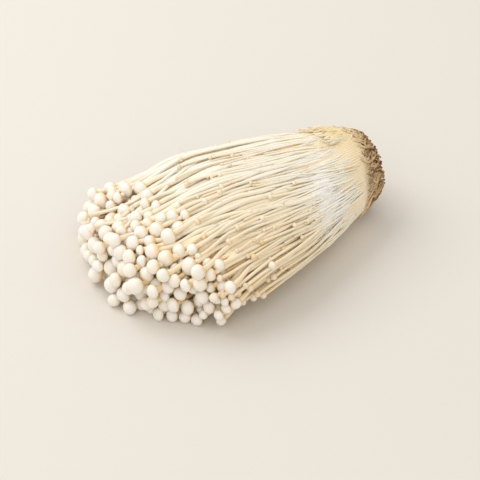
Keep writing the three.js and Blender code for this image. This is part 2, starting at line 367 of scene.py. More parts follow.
@dataclass
class Growth:
    """All the mushrooms of the bunch: the leading ones of the solids, and the smaller ones among them."""

    habit: Habit
    seed: int = 20477
    outer_leads: int = 48
    inner_leads: int = 40
    spread_at: float = 60 * MM
    core_end: float = 140 * MM
    sunk_in_core: float = 22 * MM
    stem_radius: tuple[float, float] = (1.15 * MM, 1.45 * MM)
    cap_radius: tuple[float, float] = (3.1 * MM, 4.5 * MM)
    fuller: float = 1.1
    edge_from: float = -46 * MM
    edge_smaller: float = 0.34
    edge_length: float = 5 * MM
    swell_length: float = 90 * MM
    sway: float = 0.9 * MM
    sweep: float = 0.38
    sweep_angle: float = 1.9
    sweep_width: float = 0.8
    straightened: float = 3.0 * MM
    straight_at: float = 126 * MM
    straight_length: float = 17 * MM
    root_rho: float = 0.93
    root_length: float = 45 * MM
    second_layer: int = 92
    inner_small: int = 50
    crown: int = 13
    over_layer: int = 12
    pins: int = 44
    edge_loose: int = 9
    loose_from: float = 1.5 * MM
    station_step: float = 4 * MM
    mushrooms: list[Mushroom] = field(init=False)
    stations: np.ndarray = field(init=False)
    moved: np.ndarray = field(init=False)

    def __post_init__(self) -> None:
        """Grows every mushroom and settles them against each other."""
        leads = self.leading()
        for one in leads:
            edge = smooth((self.edge_from - one.tip[1]) / self.edge_length)
            one.cap *= self.fuller - self.edge_smaller * float(edge)
            one.stem *= self.fuller
        self.mushrooms = leads + self.small_ones()
        self.settle_small(len(leads))
        self.lay_stems()

    # ---- the leading mushrooms, as in the solids

    def leading(self) -> list[Mushroom]:
        """Grows the mushrooms that the solids have, with the same draws and in the same order.

        Returns:
            The mushrooms, the outer ones first.
        """
        draw = Draw(self.seed)
        habit = self.habit
        grown = []
        for i, angle in enumerate(habit.even_angles(self.outer_leads, self.spread_at)):
            phi = angle + (0.6 / self.outer_leads) * (draw() - 0.5) * math.pi
            behind = draw.between(0.2, 0.5) if i % 2 else draw.between(0.75, 1.1)
            setback = self.setback_at(phi) * behind
            proud = 0.7 if behind > 0.6 else 0.0
            grown.append(self.lead(Layer.OUTER, 1.0, phi, setback, proud, draw, habit.block_length))
        for k in range(self.inner_leads):
            rho = 0.8 * math.sqrt((k + 0.5) / self.inner_leads)
            setback = habit.inner_setback * rho * rho * draw()
            start = self.core_end - self.sunk_in_core
            grown.append(self.lead(Layer.INNER, rho, k * GOLDEN_ANGLE, setback, 0.0, draw, start))
        self.settle_leads(grown)
        return grown

    def setback_at(self, phi: float) -> float:
        """Returns how far back the caps of the outside stand at phi."""
        top_share = max(math.sin(phi + self.habit.top_lean), 0) ** self.habit.top_narrowness
        return self.habit.rim_setback + self.habit.top_setback * top_share

    def tip_at(
        self, rho: float, phi: float, setback: float, cap: float, stem: float, proud: float
    ) -> np.ndarray:
        """Finds the middle of a cap.

        Args:
            rho: share of the way from the axis to the outside.
            phi: angle about the axis.
            setback: how far behind the front it stands.
            cap: the cap's radius.
            stem: the stem's radius.
            proud: how much of the cap stands outside, as a share of its radius.

        Returns:
            Its s, its offset from the axis and its height.
        """
        s = self.habit.front - setback
        for _ in range(4):
            y, _ = self.habit.section(rho, phi, s, cap)
            s = float(self.habit.front_at(y)) - cap - setback
        y, z = self.habit.section(rho, phi, s, cap - stem - proud * cap)
        return np.array([s, float(y), float(z)])

    def lead(
        self, layer: Layer, rho: float, phi: float, setback: float, proud: float, draw: Draw, start: float
    ) -> Mushroom:
        """Grows one leading mushroom, with four draws for its sizes and its sway.

        Args:
            layer: where in the bunch it stands.
            rho: share of the way from the axis to the outside.
            phi: angle about the axis.
            setback: how far behind the front its cap stands.
            proud: how much of the cap stands outside, as a share of its radius.
            draw: the draws of the bunch.
            start: where its stem starts.

        Returns:
            The mushroom.
        """
        cap = draw.between(*self.cap_radius)
        stem = draw.between(*self.stem_radius)
        tip = self.tip_at(rho, phi, setback, cap, stem, proud)
        return Mushroom(layer, rho, phi, cap, stem, tip, draw(), draw(), start)

    def settle_leads(self, grown: list[Mushroom]) -> None:
        """Moves the leading caps apart until none is in another, and keeps them on the table.

        Args:
            grown: the leading mushrooms.
        """
        passes = 60
        spacing = 1.04
        tips = [m.tip for m in grown]
        caps = [m.cap for m in grown]
        for _ in range(passes):
            for i, one in enumerate(tips):
                for j in range(i + 1, len(tips)):
                    apart = one - tips[j]
                    reach = (caps[i] + caps[j]) * spacing
                    distance = math.sqrt(apart[0] ** 2 + apart[1] ** 2 + apart[2] ** 2)
                    if distance < reach:
                        apart *= (reach - distance) / (2 * distance)
                        one += apart
                        tips[j] -= apart
            for tip, cap in zip(tips, caps):
                tip[2] = max(tip[2], cap - self.habit.flattened)

    # ---- the smaller mushrooms among them

    def small_ones(self) -> list[Mushroom]:
        """Grows the smaller mushrooms: in the outside layer, under it, inside and over the others.

        Returns:
            The mushrooms, layer by layer.
        """
        draw = Draw(self.seed + 1)
        habit = self.habit
        grown = []
        angles = habit.even_angles(self.outer_leads, self.spread_at)
        gaps = list(zip(angles, angles[1:] + [angles[0] + 2 * math.pi]))
        for i, (low, high) in enumerate(gaps):
            if i % 5 == 3:
                continue
            phi = low + (high - low) * (0.5 + 0.1 * (draw() - 0.5))
            short = draw() < 0.15
            cap = draw.between(1.6, 2.6) * MM if short else draw.between(3.2, 4.4) * MM
            behind = self.setback_at(phi) * draw.between(0.1, 1.1)
            behind *= 0.3 + 0.7 * float(smooth((phi - 1.1) / 0.5))
            behind += draw.between(6, 16) * MM if short else 0.0
            grown.append(self.small(Layer.OUTER, 1.0, phi, behind, cap, 0.6, draw))
        for i, angle in enumerate(habit.even_angles(self.second_layer, self.spread_at)):
            cap = draw.between(2.2, 3.2) * MM
            behind = self.setback_at(angle) * draw.between(0.1, 0.6) + draw.between(6, 12) * MM
            rho = draw.between(0.86, 0.94)
            grown.append(self.small(Layer.SECOND, rho, angle + 0.02 * (i % 2), behind, cap, 0.0, draw))
        for k in range(self.inner_small):
            rho = 0.84 * math.sqrt((k + 0.9) / self.inner_small)
            cap = draw.between(3.3, 4.6) * MM
            behind = draw.between(0, 5) * MM
            grown.append(self.small(Layer.INNER, rho, k * GOLDEN_ANGLE + 1.1, behind, cap, 0.0, draw))
        for k in range(self.crown):
            phi = math.radians(draw.between(68, 142))
            cap = draw.between(3.4, 4.8) * MM
            behind = self.setback_at(phi) * draw.between(0.0, 0.95)
            one = self.small(Layer.OVER, 1.0, phi, behind, cap, 0.9, draw)
            one.rides = draw.between(0.3, 1.4) * MM
            one.start = draw.between(40, 80) * MM
            grown.append(one)
        for k in range(self.over_layer):
            phi = draw.between(0.15, 3.5)
            cap = draw.between(2.8, 4.2) * MM
            behind = self.setback_at(phi) * draw.between(0.4, 1.2)
            one = self.small(Layer.OVER, 1.0, phi, behind, cap, 0.9, draw)
            one.rides = draw.between(0.8, 2.2) * MM
            one.crosses = draw.between(-0.2, 0.2)
            grown.append(one)
        for straggler in STRAGGLERS:
            grown.append(self.straggling(straggler, draw))
        for _ in range(self.pins):
            crosses = draw.between(-0.2, 0.2)
            s = draw.between(56, 118)
            pin = Straggler(s, draw.between(60, 168), draw.between(0.3, 1.0), crosses, draw())
            grown.append(self.straggling(pin, draw))
        for _ in range(self.edge_loose):
            crosses = draw.between(-0.25, -0.05)
            rides = draw.between(2.5, 5.5)
            s = draw.between(98, 146)
            place = Straggler(s, draw.between(166, 200), draw.between(1.2, 2.4), crosses, rides)
            grown.append(self.straggling(place, draw))
        return grown

    def small(
        self, layer: Layer, rho: float, phi: float, setback: float, cap: float, proud: float, draw: Draw
    ) -> Mushroom:
        """Grows one smaller mushroom.

        Args:
            layer: where in the bunch it stands.
            rho: share of the way from the axis to the outside.
            phi: angle about the axis.
            setback: how far behind the front its cap stands.
            cap: the cap's radius.
            proud: how much of the cap stands outside, as a share of its radius.
            draw: the draws of the smaller mushrooms.

        Returns:
            The mushroom.
        """
        stem = min(draw.between(1.1, 1.5) * MM, 0.5 * cap)
        starts = {Layer.OUTER: 12, Layer.OVER: 14, Layer.SECOND: 40, Layer.INNER: 112}
        tip = self.tip_at(rho, phi, setback, cap, stem, proud)
        foot = draw.between(0.5, 0.72) * MM
        one = Mushroom(layer, rho, phi, cap, stem, tip, draw(), draw(), starts[layer] * MM, foot)
        draw.passed_over()
        return one

    def straggling(self, straggler: Straggler, draw: Draw) -> Mushroom:
        """Grows a small mushroom that ends among the stems at its own place.

        Args:
            straggler: its place and its sizes.
            draw: the draws of the smaller mushrooms.

        Returns:
            The mushroom.
        """
        cap = (straggler.cap + 0.55 * fade(straggler.cap - 1.0, 0.7)) * MM
        stem = max(0.6 * MM, min(0.5 * cap, 0.95 * MM))
        phi = math.radians(straggler.degrees)
        rides = straggler.rides * MM
        y, z = self.habit.section(1.0, phi, straggler.s * MM, -rides - 0.1 * cap)
        tip = np.array([straggler.s * MM, float(y), max(float(z), cap - self.habit.flattened)])
        start = max(14.0, straggler.s - draw.between(50, 90)) * MM
        foot = 0.45 * MM
        one = Mushroom(
            Layer.OVER, 1.0, phi, cap, stem, tip, draw(), draw(), start, foot, rides, straggler.crosses
        )
        draw.passed_over()
        return one

    def settle_small(self, leads: int) -> None:
        """Moves the smaller caps clear of the leading ones and of each other.

        Args:
            leads: how many leading mushrooms stand first in the list. They stay where they are.
        """
        passes = 190
        spacing = 0.99
        lead_gives = 0.12
        forward = 0.25 * MM
        tips = np.array([m.tip for m in self.mushrooms])
        caps = np.array([m.cap for m in self.mushrooms])
        free = np.arange(len(caps)) >= leads
        placed = np.array([m.layer is Layer.OVER and m.cap < 3.1 * MM for m in self.mushrooms])
        weight = np.where(free, np.where(placed, 0.35, 1.0), lead_gives)
        packs = free & np.array([m.layer is Layer.INNER for m in self.mushrooms])
        reach = (caps[:, None] + caps[None]) * spacing
        np.fill_diagonal(reach, 0)
        share = weight[:, None] / np.maximum(weight[:, None] + weight[None], 1e-9)
        loose = np.array([max(m.rides - self.loose_from, 0) for m in self.mushrooms])
        over = np.array([m.layer is Layer.OVER for m in self.mushrooms]) * (caps * 0.9 + loose)
        early = np.where(placed, 6 * MM, 0)
        for _ in range(passes):
            apart = tips[:, None] - tips[None]
            distance = np.maximum(np.linalg.norm(apart, axis=-1), 1e-7)
            push = np.maximum(reach - distance, 0) / distance * share
            tips += 0.6 * (apart * push[..., None]).sum(1)
            tips[:, 0] += np.where(packs, forward, 0)
            latest = self.habit.front_at(tips[:, 1]) - 0.9 * caps + early
            tips[:, 0] = np.where(free, np.minimum(tips[:, 0], latest), tips[:, 0])
            inset = 0.35 * caps - over
            y, z = self.habit.held_inside(tips[:, 1], tips[:, 2], tips[:, 0], inset)
            tips[:, 1] = np.where(free, y, tips[:, 1])
            tips[:, 2] = np.maximum(np.where(free, z, tips[:, 2]), caps - self.habit.flattened)
        for mushroom, tip in zip(self.mushrooms, tips):
            mushroom.tip = tip

    # ---- the stems

    def stem_size(self, one: Mushroom, s: np.ndarray) -> np.ndarray:
        """Returns the radius of a stem at s: thin at the foot, and full from swell_length on."""
        return one.foot + (one.stem - one.foot) * smooth(s / self.swell_length)

    def centre_line(self, one: Mushroom, s: np.ndarray) -> np.ndarray:
        """Finds the line that a stem grows along before it is settled against the others.

        Args:
            one: the mushroom.
            s: distances from the cut face.

        Returns:
            The offset from the axis and the height at each s.
        """
        share = s / one.tip[0]
        top = fade(one.phi - self.sweep_angle, self.sweep_width)
        phi = one.phi + (one.crosses + self.sweep * top) * (1 - share) * smooth(share * 3)
        rho = one.rho * (self.root_rho + (1 - self.root_rho) * smooth(s / self.root_length))
        loose = max(one.rides - self.loose_from, 0)
        lift = (one.rides - loose) * smooth((share - 0.25) / 0.3) + loose * smooth((share - 0.55) / 0.45)
        lift = lift + self.straightened * top * fade(s - self.straight_at, self.straight_length) * one.rho**2
        y, z = self.habit.section(rho, phi, s, one.stem - lift)
        end_y, end_z = self.habit.section(one.rho, one.phi, one.tip[0], one.stem - one.rides)
        pull = share**3
        wave = np.sin(2 * math.pi * (one.phase + share * (0.6 + one.sway)))
        drift = self.sway * share * (1 - share) * 4 * wave
        height = z + (one.tip[2] - end_z) * pull
        lowest = self.stem_size(one, s) - self.habit.flattened
        return np.stack([y + (one.tip[1] - end_y) * pull + drift, np.maximum(height, lowest)], -1)

    def lay_stems(self) -> None:
        """Settles the stems against each other and against the caps, section by section."""
        passes = 66
        habit = self.habit
        count = len(self.mushrooms)
        stations = np.arange(habit.block_length, habit.front, self.station_step)
        at = stations[:, None]
        first = np.array([m.start for m in self.mushrooms])
        last = np.array([m.neck for m in self.mushrooms])
        grows = (at >= first - self.station_step) & (at <= last)
        grown = np.stack([self.centre_line(m, stations) for m in self.mushrooms], 1)
        radius = np.stack([self.stem_size(m, stations) for m in self.mushrooms], 1)
        tips = np.array([m.tip for m in self.mushrooms])
        caps = np.array([m.cap for m in self.mushrooms])
        cap_size = np.sqrt(np.maximum(caps**2 - (at - tips[:, 0]) ** 2, 0))
        rides = np.array([m.rides for m in self.mushrooms]) + 0.25 * MM
        hold = smooth((last - at) / (22 * MM))[..., None]
        moved = np.zeros_like(grown)
        cap_places = np.broadcast_to(tips[:, 1:], (len(stations), count, 2))
        for turn in range(passes):
            places = grown + moved
            if turn % 8 == 0:
                stems = self.neighbours(places, places, grows, grows, radius, 0.99 * radius)
                by_caps = self.neighbours(places, cap_places, grows, cap_size > 0, radius, 0.92 * cap_size)
            moved += 0.5 * self.pushes(places, places, stems)
            if turn % 3 == 0:
                moved += 0.5 * self.pushes(places, cap_places, by_caps)
                moved[1:-1] = 0.25 * (moved[:-2] + moved[2:]) + 0.5 * moved[1:-1]
            moved *= 0.985
            places = grown + moved * hold
            y, z = habit.held_inside(places[..., 0], places[..., 1], at, radius - rides)
            z = np.maximum(z, radius - habit.flattened)
            moved = (np.stack([y, z], -1) - grown) * grows[..., None]
        for k in range(len(stations) - 2, -1, -1):
            moved[k] = np.where(grows[k][:, None], moved[k], moved[k + 1])
        moved = np.where((at > last)[..., None], 0, moved)
        for _ in range(4):
            moved[1:-1] = 0.25 * (moved[:-2] + moved[2:]) + 0.5 * moved[1:-1]
        self.stations = stations
        self.moved = moved * hold

    @staticmethod
    def neighbours(
        places: np.ndarray,
        others: np.ndarray,
        there: np.ndarray,
        others_there: np.ndarray,
        size: np.ndarray,
        others_size: np.ndarray,
    ) -> tuple[np.ndarray, ...]:
        """Lists the pairs that could come to touch, section by section.

        Args:
            places: points of the sections, by section and mushroom.
            others: what could push them, likewise.
            there: whether each place is in use.
            others_there: whether each of the others is.
            size: radius of each place.
            others_size: radius of each of the others.

        Returns:
            The section, the place and the other of each pair, and the distance that they need.
        """
        margin = 2.5 * MM
        found = []
        for k in range(len(places)):
            one, other = np.flatnonzero(there[k]), np.flatnonzero(others_there[k])
            apart = places[k, one][:, None] - others[k, other][None]
            reach = size[k, one][:, None] + others_size[k, other][None]
            close = ((apart**2).sum(-1) < (reach + margin) ** 2) & (one[:, None] != other[None])
            i, j = np.nonzero(close)
            found.append((np.full(len(i), k), one[i], other[j], reach[i, j]))
        return tuple(np.concatenate(column) for column in zip(*found))

    @staticmethod
    def pushes(places: np.ndarray, others: np.ndarray, pairs: tuple[np.ndarray, ...]) -> np.ndarray:
        """Finds how far each place is pushed by what is within its reach.

        Args:
            places: points of the sections, by section and mushroom.
            others: what pushes them, by section and mushroom.
            pairs: the pairs to look at, as neighbours() gives them.

        Returns:
            The push on each place.
        """
        k, i, j, reach = pairs
        apart = places[k, i] - others[k, j]
        distance = np.maximum(np.linalg.norm(apart, axis=1), 1e-6)
        push = apart * (np.maximum(reach - distance, 0) / distance)[:, None]
        spot = k * places.shape[1] + i
        sums = [np.bincount(spot, push[:, axis], places.shape[0] * places.shape[1]) for axis in (0, 1)]
        return np.stack(sums, -1).reshape(places.shape)

    def settled_line(self, index: int, s: np.ndarray) -> np.ndarray:
        """Finds points along a settled stem.

        Args:
            index: which mushroom it is.
            s: distances from the cut face.

        Returns:
            The points in the frame.
        """
        one = self.mushrooms[index]
        line = self.centre_line(one, s)
        shift = [np.interp(s, self.stations, self.moved[:, index, k]) for k in (0, 1)]
        return self.habit.place(s, line[:, 0] + shift[0], line[:, 1] + shift[1])


# ---------------------------------------------------------------- modelling


@dataclass
class Pattern:
    """A shape that is modelled once and copied: its corners and its faces."""

    corners: np.ndarray
    faces: list[tuple[int, ...]]

    @classmethod
    def turned(cls, name: str, sides: int, profile: list[tuple[float, float]]) -> "Pattern":
        """Models a round shape ring by ring, by drawing its end face out.

        Args:
            name: a name for the shape while it is worked on.
            sides: sides of each ring.
            profile: radius and place along the axis of each ring.

        Returns:
            The finished shape.
        """
        bpy.ops.object.select_all(action="DESELECT")
        radius, along = profile[0]
        bpy.ops.mesh.primitive_circle_add(vertices=sides, radius=radius, fill_type="NGON", location=(0, 0, 0))
        shape = bpy.context.object
        shape.name = name
        shape.data.transform(Matrix.Translation((0, 0, along)))
        bpy.ops.object.mode_set(mode="EDIT")
        bpy.ops.mesh.select_all(action="SELECT")
        for (last, before), (size, place) in zip(profile, profile[1:]):
            bpy.ops.mesh.extrude_region_move(TRANSFORM_OT_translate={"value": (0, 0, place - before)})
            grow = size / last
            bpy.ops.transform.resize(value=(grow, grow, 1), center_override=(0, 0, place))
        bpy.ops.mesh.select_all(action="SELECT")
        bpy.ops.mesh.normals_make_consistent(inside=False)
        bpy.ops.object.mode_set(mode="OBJECT")
        return cls.taken_from(shape).in_order()

    @classmethod
    def tube(cls, name: str, sides: int, rings: int) -> "Pattern":
        """Models a plain tube of radius 1 and length 1, with that many rings after the first."""
        return cls.turned(name, sides, [(1.0, i / rings) for i in range(rings + 1)])

    @classmethod
    def taken_from(cls, shape: bpy.types.Object) -> "Pattern":
        """Takes the shape of an object, and removes the object.

        Args:
            shape: the object.

        Returns:
            Its corners and faces.
        """
        corners = np.empty(len(shape.data.vertices) * 3)
        shape.data.vertices.foreach_get("co", corners)
        faces = [tuple(face.vertices) for face in shape.data.polygons]
        mesh = shape.data
        bpy.data.objects.remove(shape)
        bpy.data.meshes.remove(mesh)
        return cls(corners.reshape(-1, 3), faces)

    def in_order(self) -> "Pattern":
        """Numbers the corners and faces by where they are, because drawing out numbers them by chance.

        Returns:
            The same shape, numbered alike on every run.
        """
        order = np.lexsort(self.corners.T)
        number = np.argsort(order)
        return Pattern(self.corners[order], sorted(tuple(number[list(face)]) for face in self.faces))

    def rings(self, count: int) -> tuple[np.ndarray, np.ndarray, np.ndarray, np.ndarray]:
        """Reads the corners of a tube.

        Args:
            count: how many rings it has after the first.

        Returns:
            How far across, up and along each corner is, and the ring that it is in.
        """
        across, up, share = self.corners.T
        return across, up, share, np.rint(share * count).astype(int)

    def copied(self, name: str, corners: np.ndarray, marks: Marks) -> bpy.types.Object:
        """Makes one piece of many copies of this shape.

        Args:
            name: the piece's name.
            corners: where the corners of each copy are, by copy and corner.
            marks: values at those corners that the finish reads, by name.

        Returns:
            The piece, with its place in its mesh.
        """
        copies, size = corners.shape[:2]
        copy = np.arange(copies)[:, None]
        lengths = np.array([len(face) for face in self.faces])
        loops = np.concatenate([np.array(face) for face in self.faces])
        starts = np.concatenate([[0], np.cumsum(lengths)[:-1]])
        mesh = bpy.data.meshes.new(name)
        mesh.vertices.add(copies * size)
        mesh.vertices.foreach_set("co", corners.reshape(-1).astype(np.float32))
        mesh.loops.add(copies * len(loops))
        mesh.loops.foreach_set("vertex_index", (loops + size * copy).reshape(-1).astype(np.int32))
        mesh.polygons.add(copies * len(lengths))
        mesh.polygons.foreach_set("loop_start", (starts + len(loops) * copy).reshape(-1).astype(np.int32))
        mesh.polygons.foreach_set("use_smooth", np.ones(copies * len(lengths), bool))
        mesh.update(calc_edges=True)
        mesh.validate()
        for mark, values in marks.items():
            kind, key = ("FLOAT_VECTOR", "vector") if values.ndim == 3 else ("FLOAT", "value")
            layer = mesh.attributes.new(mark, kind, "POINT")
            layer.data.foreach_set(key, values.reshape(-1).astype(np.float32))
        piece = bpy.data.objects.new(name, mesh)
        bpy.context.scene.collection.objects.link(piece)
        if signed_volume(corners[0], self.faces) < 0:
            mesh.flip_normals()
        return piece


def signed_volume(corners: np.ndarray, faces: list[tuple[int, ...]]) -> float:
    """Finds the volume that faces enclose.

    Args:
        corners: the places of the corners.
        faces: the corners of each face.

    Returns:
        The volume, below 0 where the faces are inside out.
    """
    corner_sets = np.array([(f[0], b, c) for f in faces for b, c in zip(f[1:], f[2:])])
    a, b, c = (corners[corner_sets[:, k]] for k in range(3))
    return float(np.einsum("ij,ij->", a, np.cross(b, c))) / 6


def frames_along(line: np.ndarray) -> tuple[np.ndarray, np.ndarray, np.ndarray]:
    """Finds the directions along, aside and upward at each point of lines.

    Args:
        line: points by line and place along it.

    Returns:
        The three directions at each point.
    """
    along = unit(np.gradient(line, axis=-2))
    side = np.zeros_like(along)
    side[..., 1] = 1
    aside = unit(side - along * along[..., 1:2])
    return along, aside, np.cross(along, aside)


def wrapped(
    line: np.ndarray, aside: np.ndarray, upward: np.ndarray, x: np.ndarray, h: np.ndarray, ring: np.ndarray
) -> np.ndarray:
    """Wraps tubes about their lines, above the table.

    Args:
        line: points by line and ring.
        aside: the direction aside at each of them.
        upward: the direction upward at each of them.
        x: how far aside each corner is, by line and corner.
        h: how far upward each corner is, likewise.
        ring: the ring that each corner is in.

    Returns:
        The corners, by line and corner.
    """
    return above_table(line[:, ring] + aside[:, ring] * x[..., None] + upward[:, ring] * h[..., None])


def strand_grain(across: np.ndarray, up: np.ndarray, run: np.ndarray) -> np.ndarray:
    """Returns where the finish of strands reads its grain: stretched out along their length."""
    around = 2.5
    return np.stack([np.broadcast_to(v, run.shape) for v in (across * around, up * around, run)], -1)


def pick(piece: bpy.types.Object) -> None:
    """Selects one piece alone, for the operators that act on it.

    Args:
        piece: the piece.
    """
    bpy.ops.object.select_all(action="DESELECT")
    piece.select_set(True)
    bpy.context.view_layer.objects.active = piece


def modified(piece: bpy.types.Object, kind: str, **settings: Union[float, bpy.types.Texture, str]) -> None:
    """Puts a modifier on the picked piece and applies it.

    Args:
        piece: the piece, which is picked.
        kind: what the modifier does.
        settings: its settings, by name.
    """
    modifier = piece.modifiers.new(kind.lower(), kind)
    for name, value in settings.items():
        setattr(modifier, name, value)
    bpy.ops.object.modifier_apply(modifier=modifier.name)


# ---------------------------------------------------------------- finishes


class Wiring:
    """Builds a material's nodes in a few words."""

    def __init__(self, name: str) -> None:
        """Starts a material with only its surface shader.

        Args:
            name: the material's name.
        """
        self.material = bpy.data.materials.new(name)
        self.material.use_nodes = True
        self.nodes = self.material.node_tree.nodes
        self.links = self.material.node_tree.links
        self.shader = self.nodes["Principled BSDF"]
        self.place = self.nodes.new("ShaderNodeTexCoord").outputs["Object"]

    def feed(self, socket: bpy.types.NodeSocket, value: Value) -> None:
        """Links a socket to another node's output, or sets its value.

        Args:
            socket: the socket.
            value: the output, or the value.
        """
        if isinstance(value, bpy.types.NodeSocket):
            self.links.new(value, socket)
        else:
            socket.default_value = value

    def mark(self, name: str, vector: bool = False) -> bpy.types.NodeSocket:
        """Reads the values that the piece carries.

        Args:
            name: the name that it carries them under.
            vector: whether they are vectors.

        Returns:
            The values.
        """
        node = self.nodes.new("ShaderNodeAttribute")
        node.attribute_name = name
        return node.outputs["Vector" if vector else "Fac"]

    def noise(
        self, scale: float, detail: float = 3.0, where: Value = None, roughness: float = 0.55
    ) -> bpy.types.NodeSocket:
        """Makes cloudy noise.

        Args:
            scale: how many spots it has in a metre.
            detail: how many finer layers it has.
            where: the places that it is read at, if they aren't the piece's own.
            roughness: how strong the finer layers are.

        Returns:
            The noise, from 0 to 1.
        """
        node = self.nodes.new("ShaderNodeTexNoise")
        self.feed(node.inputs["Vector"], where or self.place)
        node.inputs["Scale"].default_value = scale
        node.inputs["Detail"].default_value = detail
        node.inputs["Roughness"].default_value = roughness
        return node.outputs["Fac"]

    def spread(
        self, value: Value, low: float, high: float, first: float = 0.0, last: float = 1.0
    ) -> bpy.types.NodeSocket:
        """Stretches a value from one range to another, and keeps it there.

        Args:
            value: the value.
            low: where it gives first.
            high: where it gives last.
            first: the one end of the new range.
            last: the other end.

        Returns:
            The stretched value.
        """
        node = self.nodes.new("ShaderNodeMapRange")
        node.interpolation_type = "SMOOTHSTEP"
        self.feed(node.inputs["Value"], value)
        for socket, number in zip(("From Min", "From Max", "To Min", "To Max"), (low, high, first, last)):
            node.inputs[socket].default_value = number
        return node.outputs["Result"]

    def times(self, one: Value, other: Value) -> bpy.types.NodeSocket:
        """Multiplies two numbers.

        Args:
            one: the first.
            other: the second.

        Returns:
            Their product.
        """
        node = self.nodes.new("ShaderNodeMath")
        node.operation = "MULTIPLY"
        self.feed(node.inputs[0], one)
        self.feed(node.inputs[1], other)
        return node.outputs[0]

    def mix(self, share: Value, one: Value, other: Value) -> bpy.types.NodeSocket:
        """Mixes two colours.

        Args:
            share: how much there is of the second.
            one: the first colour.
            other: the second colour.

        Returns:
            The colour between them.
        """
        node = self.nodes.new("ShaderNodeMix")
        node.data_type = "RGBA"
        node.clamp_factor = True
        for socket, value in zip((0, 6, 7), (share, one, other)):
            if isinstance(value, tuple):
                value = (*value, 1.0)
            self.feed(node.inputs[socket], value)
        return node.outputs[2]

    def relief(self, height: Value, depth: float, after: Value = None) -> bpy.types.NodeSocket:
        """Gives the surface fine relief.

        Args:
            height: how high it stands, from 0 to 1.
            depth: how deep the relief is.
            after: the direction that an earlier relief left it with.

        Returns:
            The surface's direction.
        """
        node = self.nodes.new("ShaderNodeBump")
        node.inputs["Strength"].default_value = 1.0
        node.inputs["Distance"].default_value = depth
        self.feed(node.inputs["Height"], height)
        if after is not None:
            self.feed(node.inputs["Normal"], after)
        return node.outputs["Normal"]

    def flesh(self, weight: float, radius: Colour, scale: float) -> None:
        """Lets light some way into the surface, as into mushroom flesh.

        Args:
            weight: how much of the light goes in.
            radius: how far red, green and blue get, as shares of scale.
            scale: the distance.
        """
        self.shader.inputs["Subsurface Weight"].default_value = weight
        self.shader.inputs["Subsurface Radius"].default_value = radius
        self.shader.inputs["Subsurface Scale"].default_value = scale


@dataclass(frozen=True)
class StemFinish:
    """Ivory stem flesh: silky, finely streaked lengthwise, creamier at the foot, brown where it has dried,
    with painted shade: tan on the near, lower side, warm orange in the gaps and at the necks.
    """

    name: str = "stem_flesh"
    ivory: Colour = (0.93, 0.89, 0.80)
    cream: Colour = (0.92, 0.845, 0.68)
    # painted shade: the tan of the near, lower side
    tan: Colour = (0.87, 0.725, 0.475)
    foot: Colour = (0.925, 0.865, 0.72)
    gold: Colour = (0.86, 0.67, 0.36)
    brown: Colour = (0.36, 0.22, 0.10)
    speck: Colour = (0.55, 0.32, 0.13)
    down: Colour = (0.93, 0.92, 0.89)
    # painted shade: the warm orange of the gaps between stems, of the necks under the caps and of the packed
    # middle
    deep: Colour = (0.96, 0.66, 0.29)
    roughness: float = 0.46

    def make(self) -> bpy.types.Material:
        """Makes the material.

        Returns:
            The material.
        """
        w = Wiring(self.name)
        grain = w.mark("grain", vector=True)
        streak = w.noise(1.0, 4, grain)
        golden = w.times(w.mark("gold"), w.spread(w.noise(55, 2), 0.35, 0.65, 0.25, 1))
        dried = w.times(w.mark("dry"), w.spread(streak, 0.3, 0.55, 0.35, 1))
        downy = w.times(w.mark("down"), w.spread(w.noise(240, 4), 0.3, 0.6, 0.4, 1))
        specked = w.times(w.spread(w.noise(260, 2), 0.62, 0.74, 0, 0.4), w.mark("specks"))
        body = w.mix(w.times(w.mark("tone"), 0.8), self.ivory, self.cream)
        body = w.mix(w.spread(streak, 0.42, 0.75, 0, 0.4), body, self.cream)
        # painted shade: tan on the near, lower side
        body = w.mix(w.mark("tan"), body, self.tan)
        # painted warm shade, where the stems lie deep in the bunch and under the caps
        body = w.mix(w.mark("deep"), body, self.deep)
        body = w.mix(w.mark("age"), body, self.foot)
        body = w.mix(golden, body, self.gold)
        body = w.mix(dried, body, self.brown)
        body = w.mix(downy, body, self.down)
        body = w.mix(specked, body, self.speck)
        w.feed(w.shader.inputs["Base Color"], body)
        w.shader.inputs["Roughness"].default_value = self.roughness
        w.flesh(0.35, (1.0, 0.82, 0.66), 0.6 * MM)
        fine = w.relief(streak, 0.07 * MM)
        w.feed(w.shader.inputs["Normal"], w.relief(w.noise(900, 2), 0.05 * MM, fine))
        return w.material


@dataclass(frozen=True)
class CapFinish:
    """White cap skin: smooth and a little moist, warm on the lower half: partly the creamier underside,
    partly painted warm shade between the caps.
    """

    name: str = "cap_skin"
    white: Colour = (0.905, 0.865, 0.80)
    cream: Colour = (0.905, 0.83, 0.71)
    # partly the creamier underside, partly painted warm shade on the lower half of each cap
    underside_and_painted_shade: Colour = (0.96, 0.68, 0.34)
    tan: Colour = (0.82, 0.60, 0.34)
    roughness: float = 0.38

    def make(self) -> bpy.types.Material:
        """Makes the material.

        Returns:
            The material.
        """
        w = Wiring(self.name)
        mottle = w.noise(260, 3)
        body = w.mix(w.times(w.mark("tone"), 0.7), self.white, self.cream)
        body = w.mix(w.spread(mottle, 0.5, 0.75, 0, 0.3), body, self.cream)
        # lower half warm orange: partly the underside's own cream, partly painted shade between the caps
        body = w.mix(w.spread(w.mark("height"), 0.16, -0.46, 0, 0.92), body, self.underside_and_painted_shade)
        body = w.mix(w.mark("pin"), body, self.tan)
        w.feed(w.shader.inputs["Base Color"], body)
        w.shader.inputs["Roughness"].default_value = self.roughness
        w.shader.inputs["Coat Weight"].default_value = 0.08
        w.shader.inputs["Coat Roughness"].default_value = 0.3
        w.flesh(0.6, (1.0, 0.72, 0.52), 2.4 * MM)
        dents = w.relief(w.noise(300, 2), 0.1 * MM)
        w.feed(w.shader.inputs["Normal"], w.relief(w.noise(1600, 2), 0.03 * MM, dents))
        return w.material


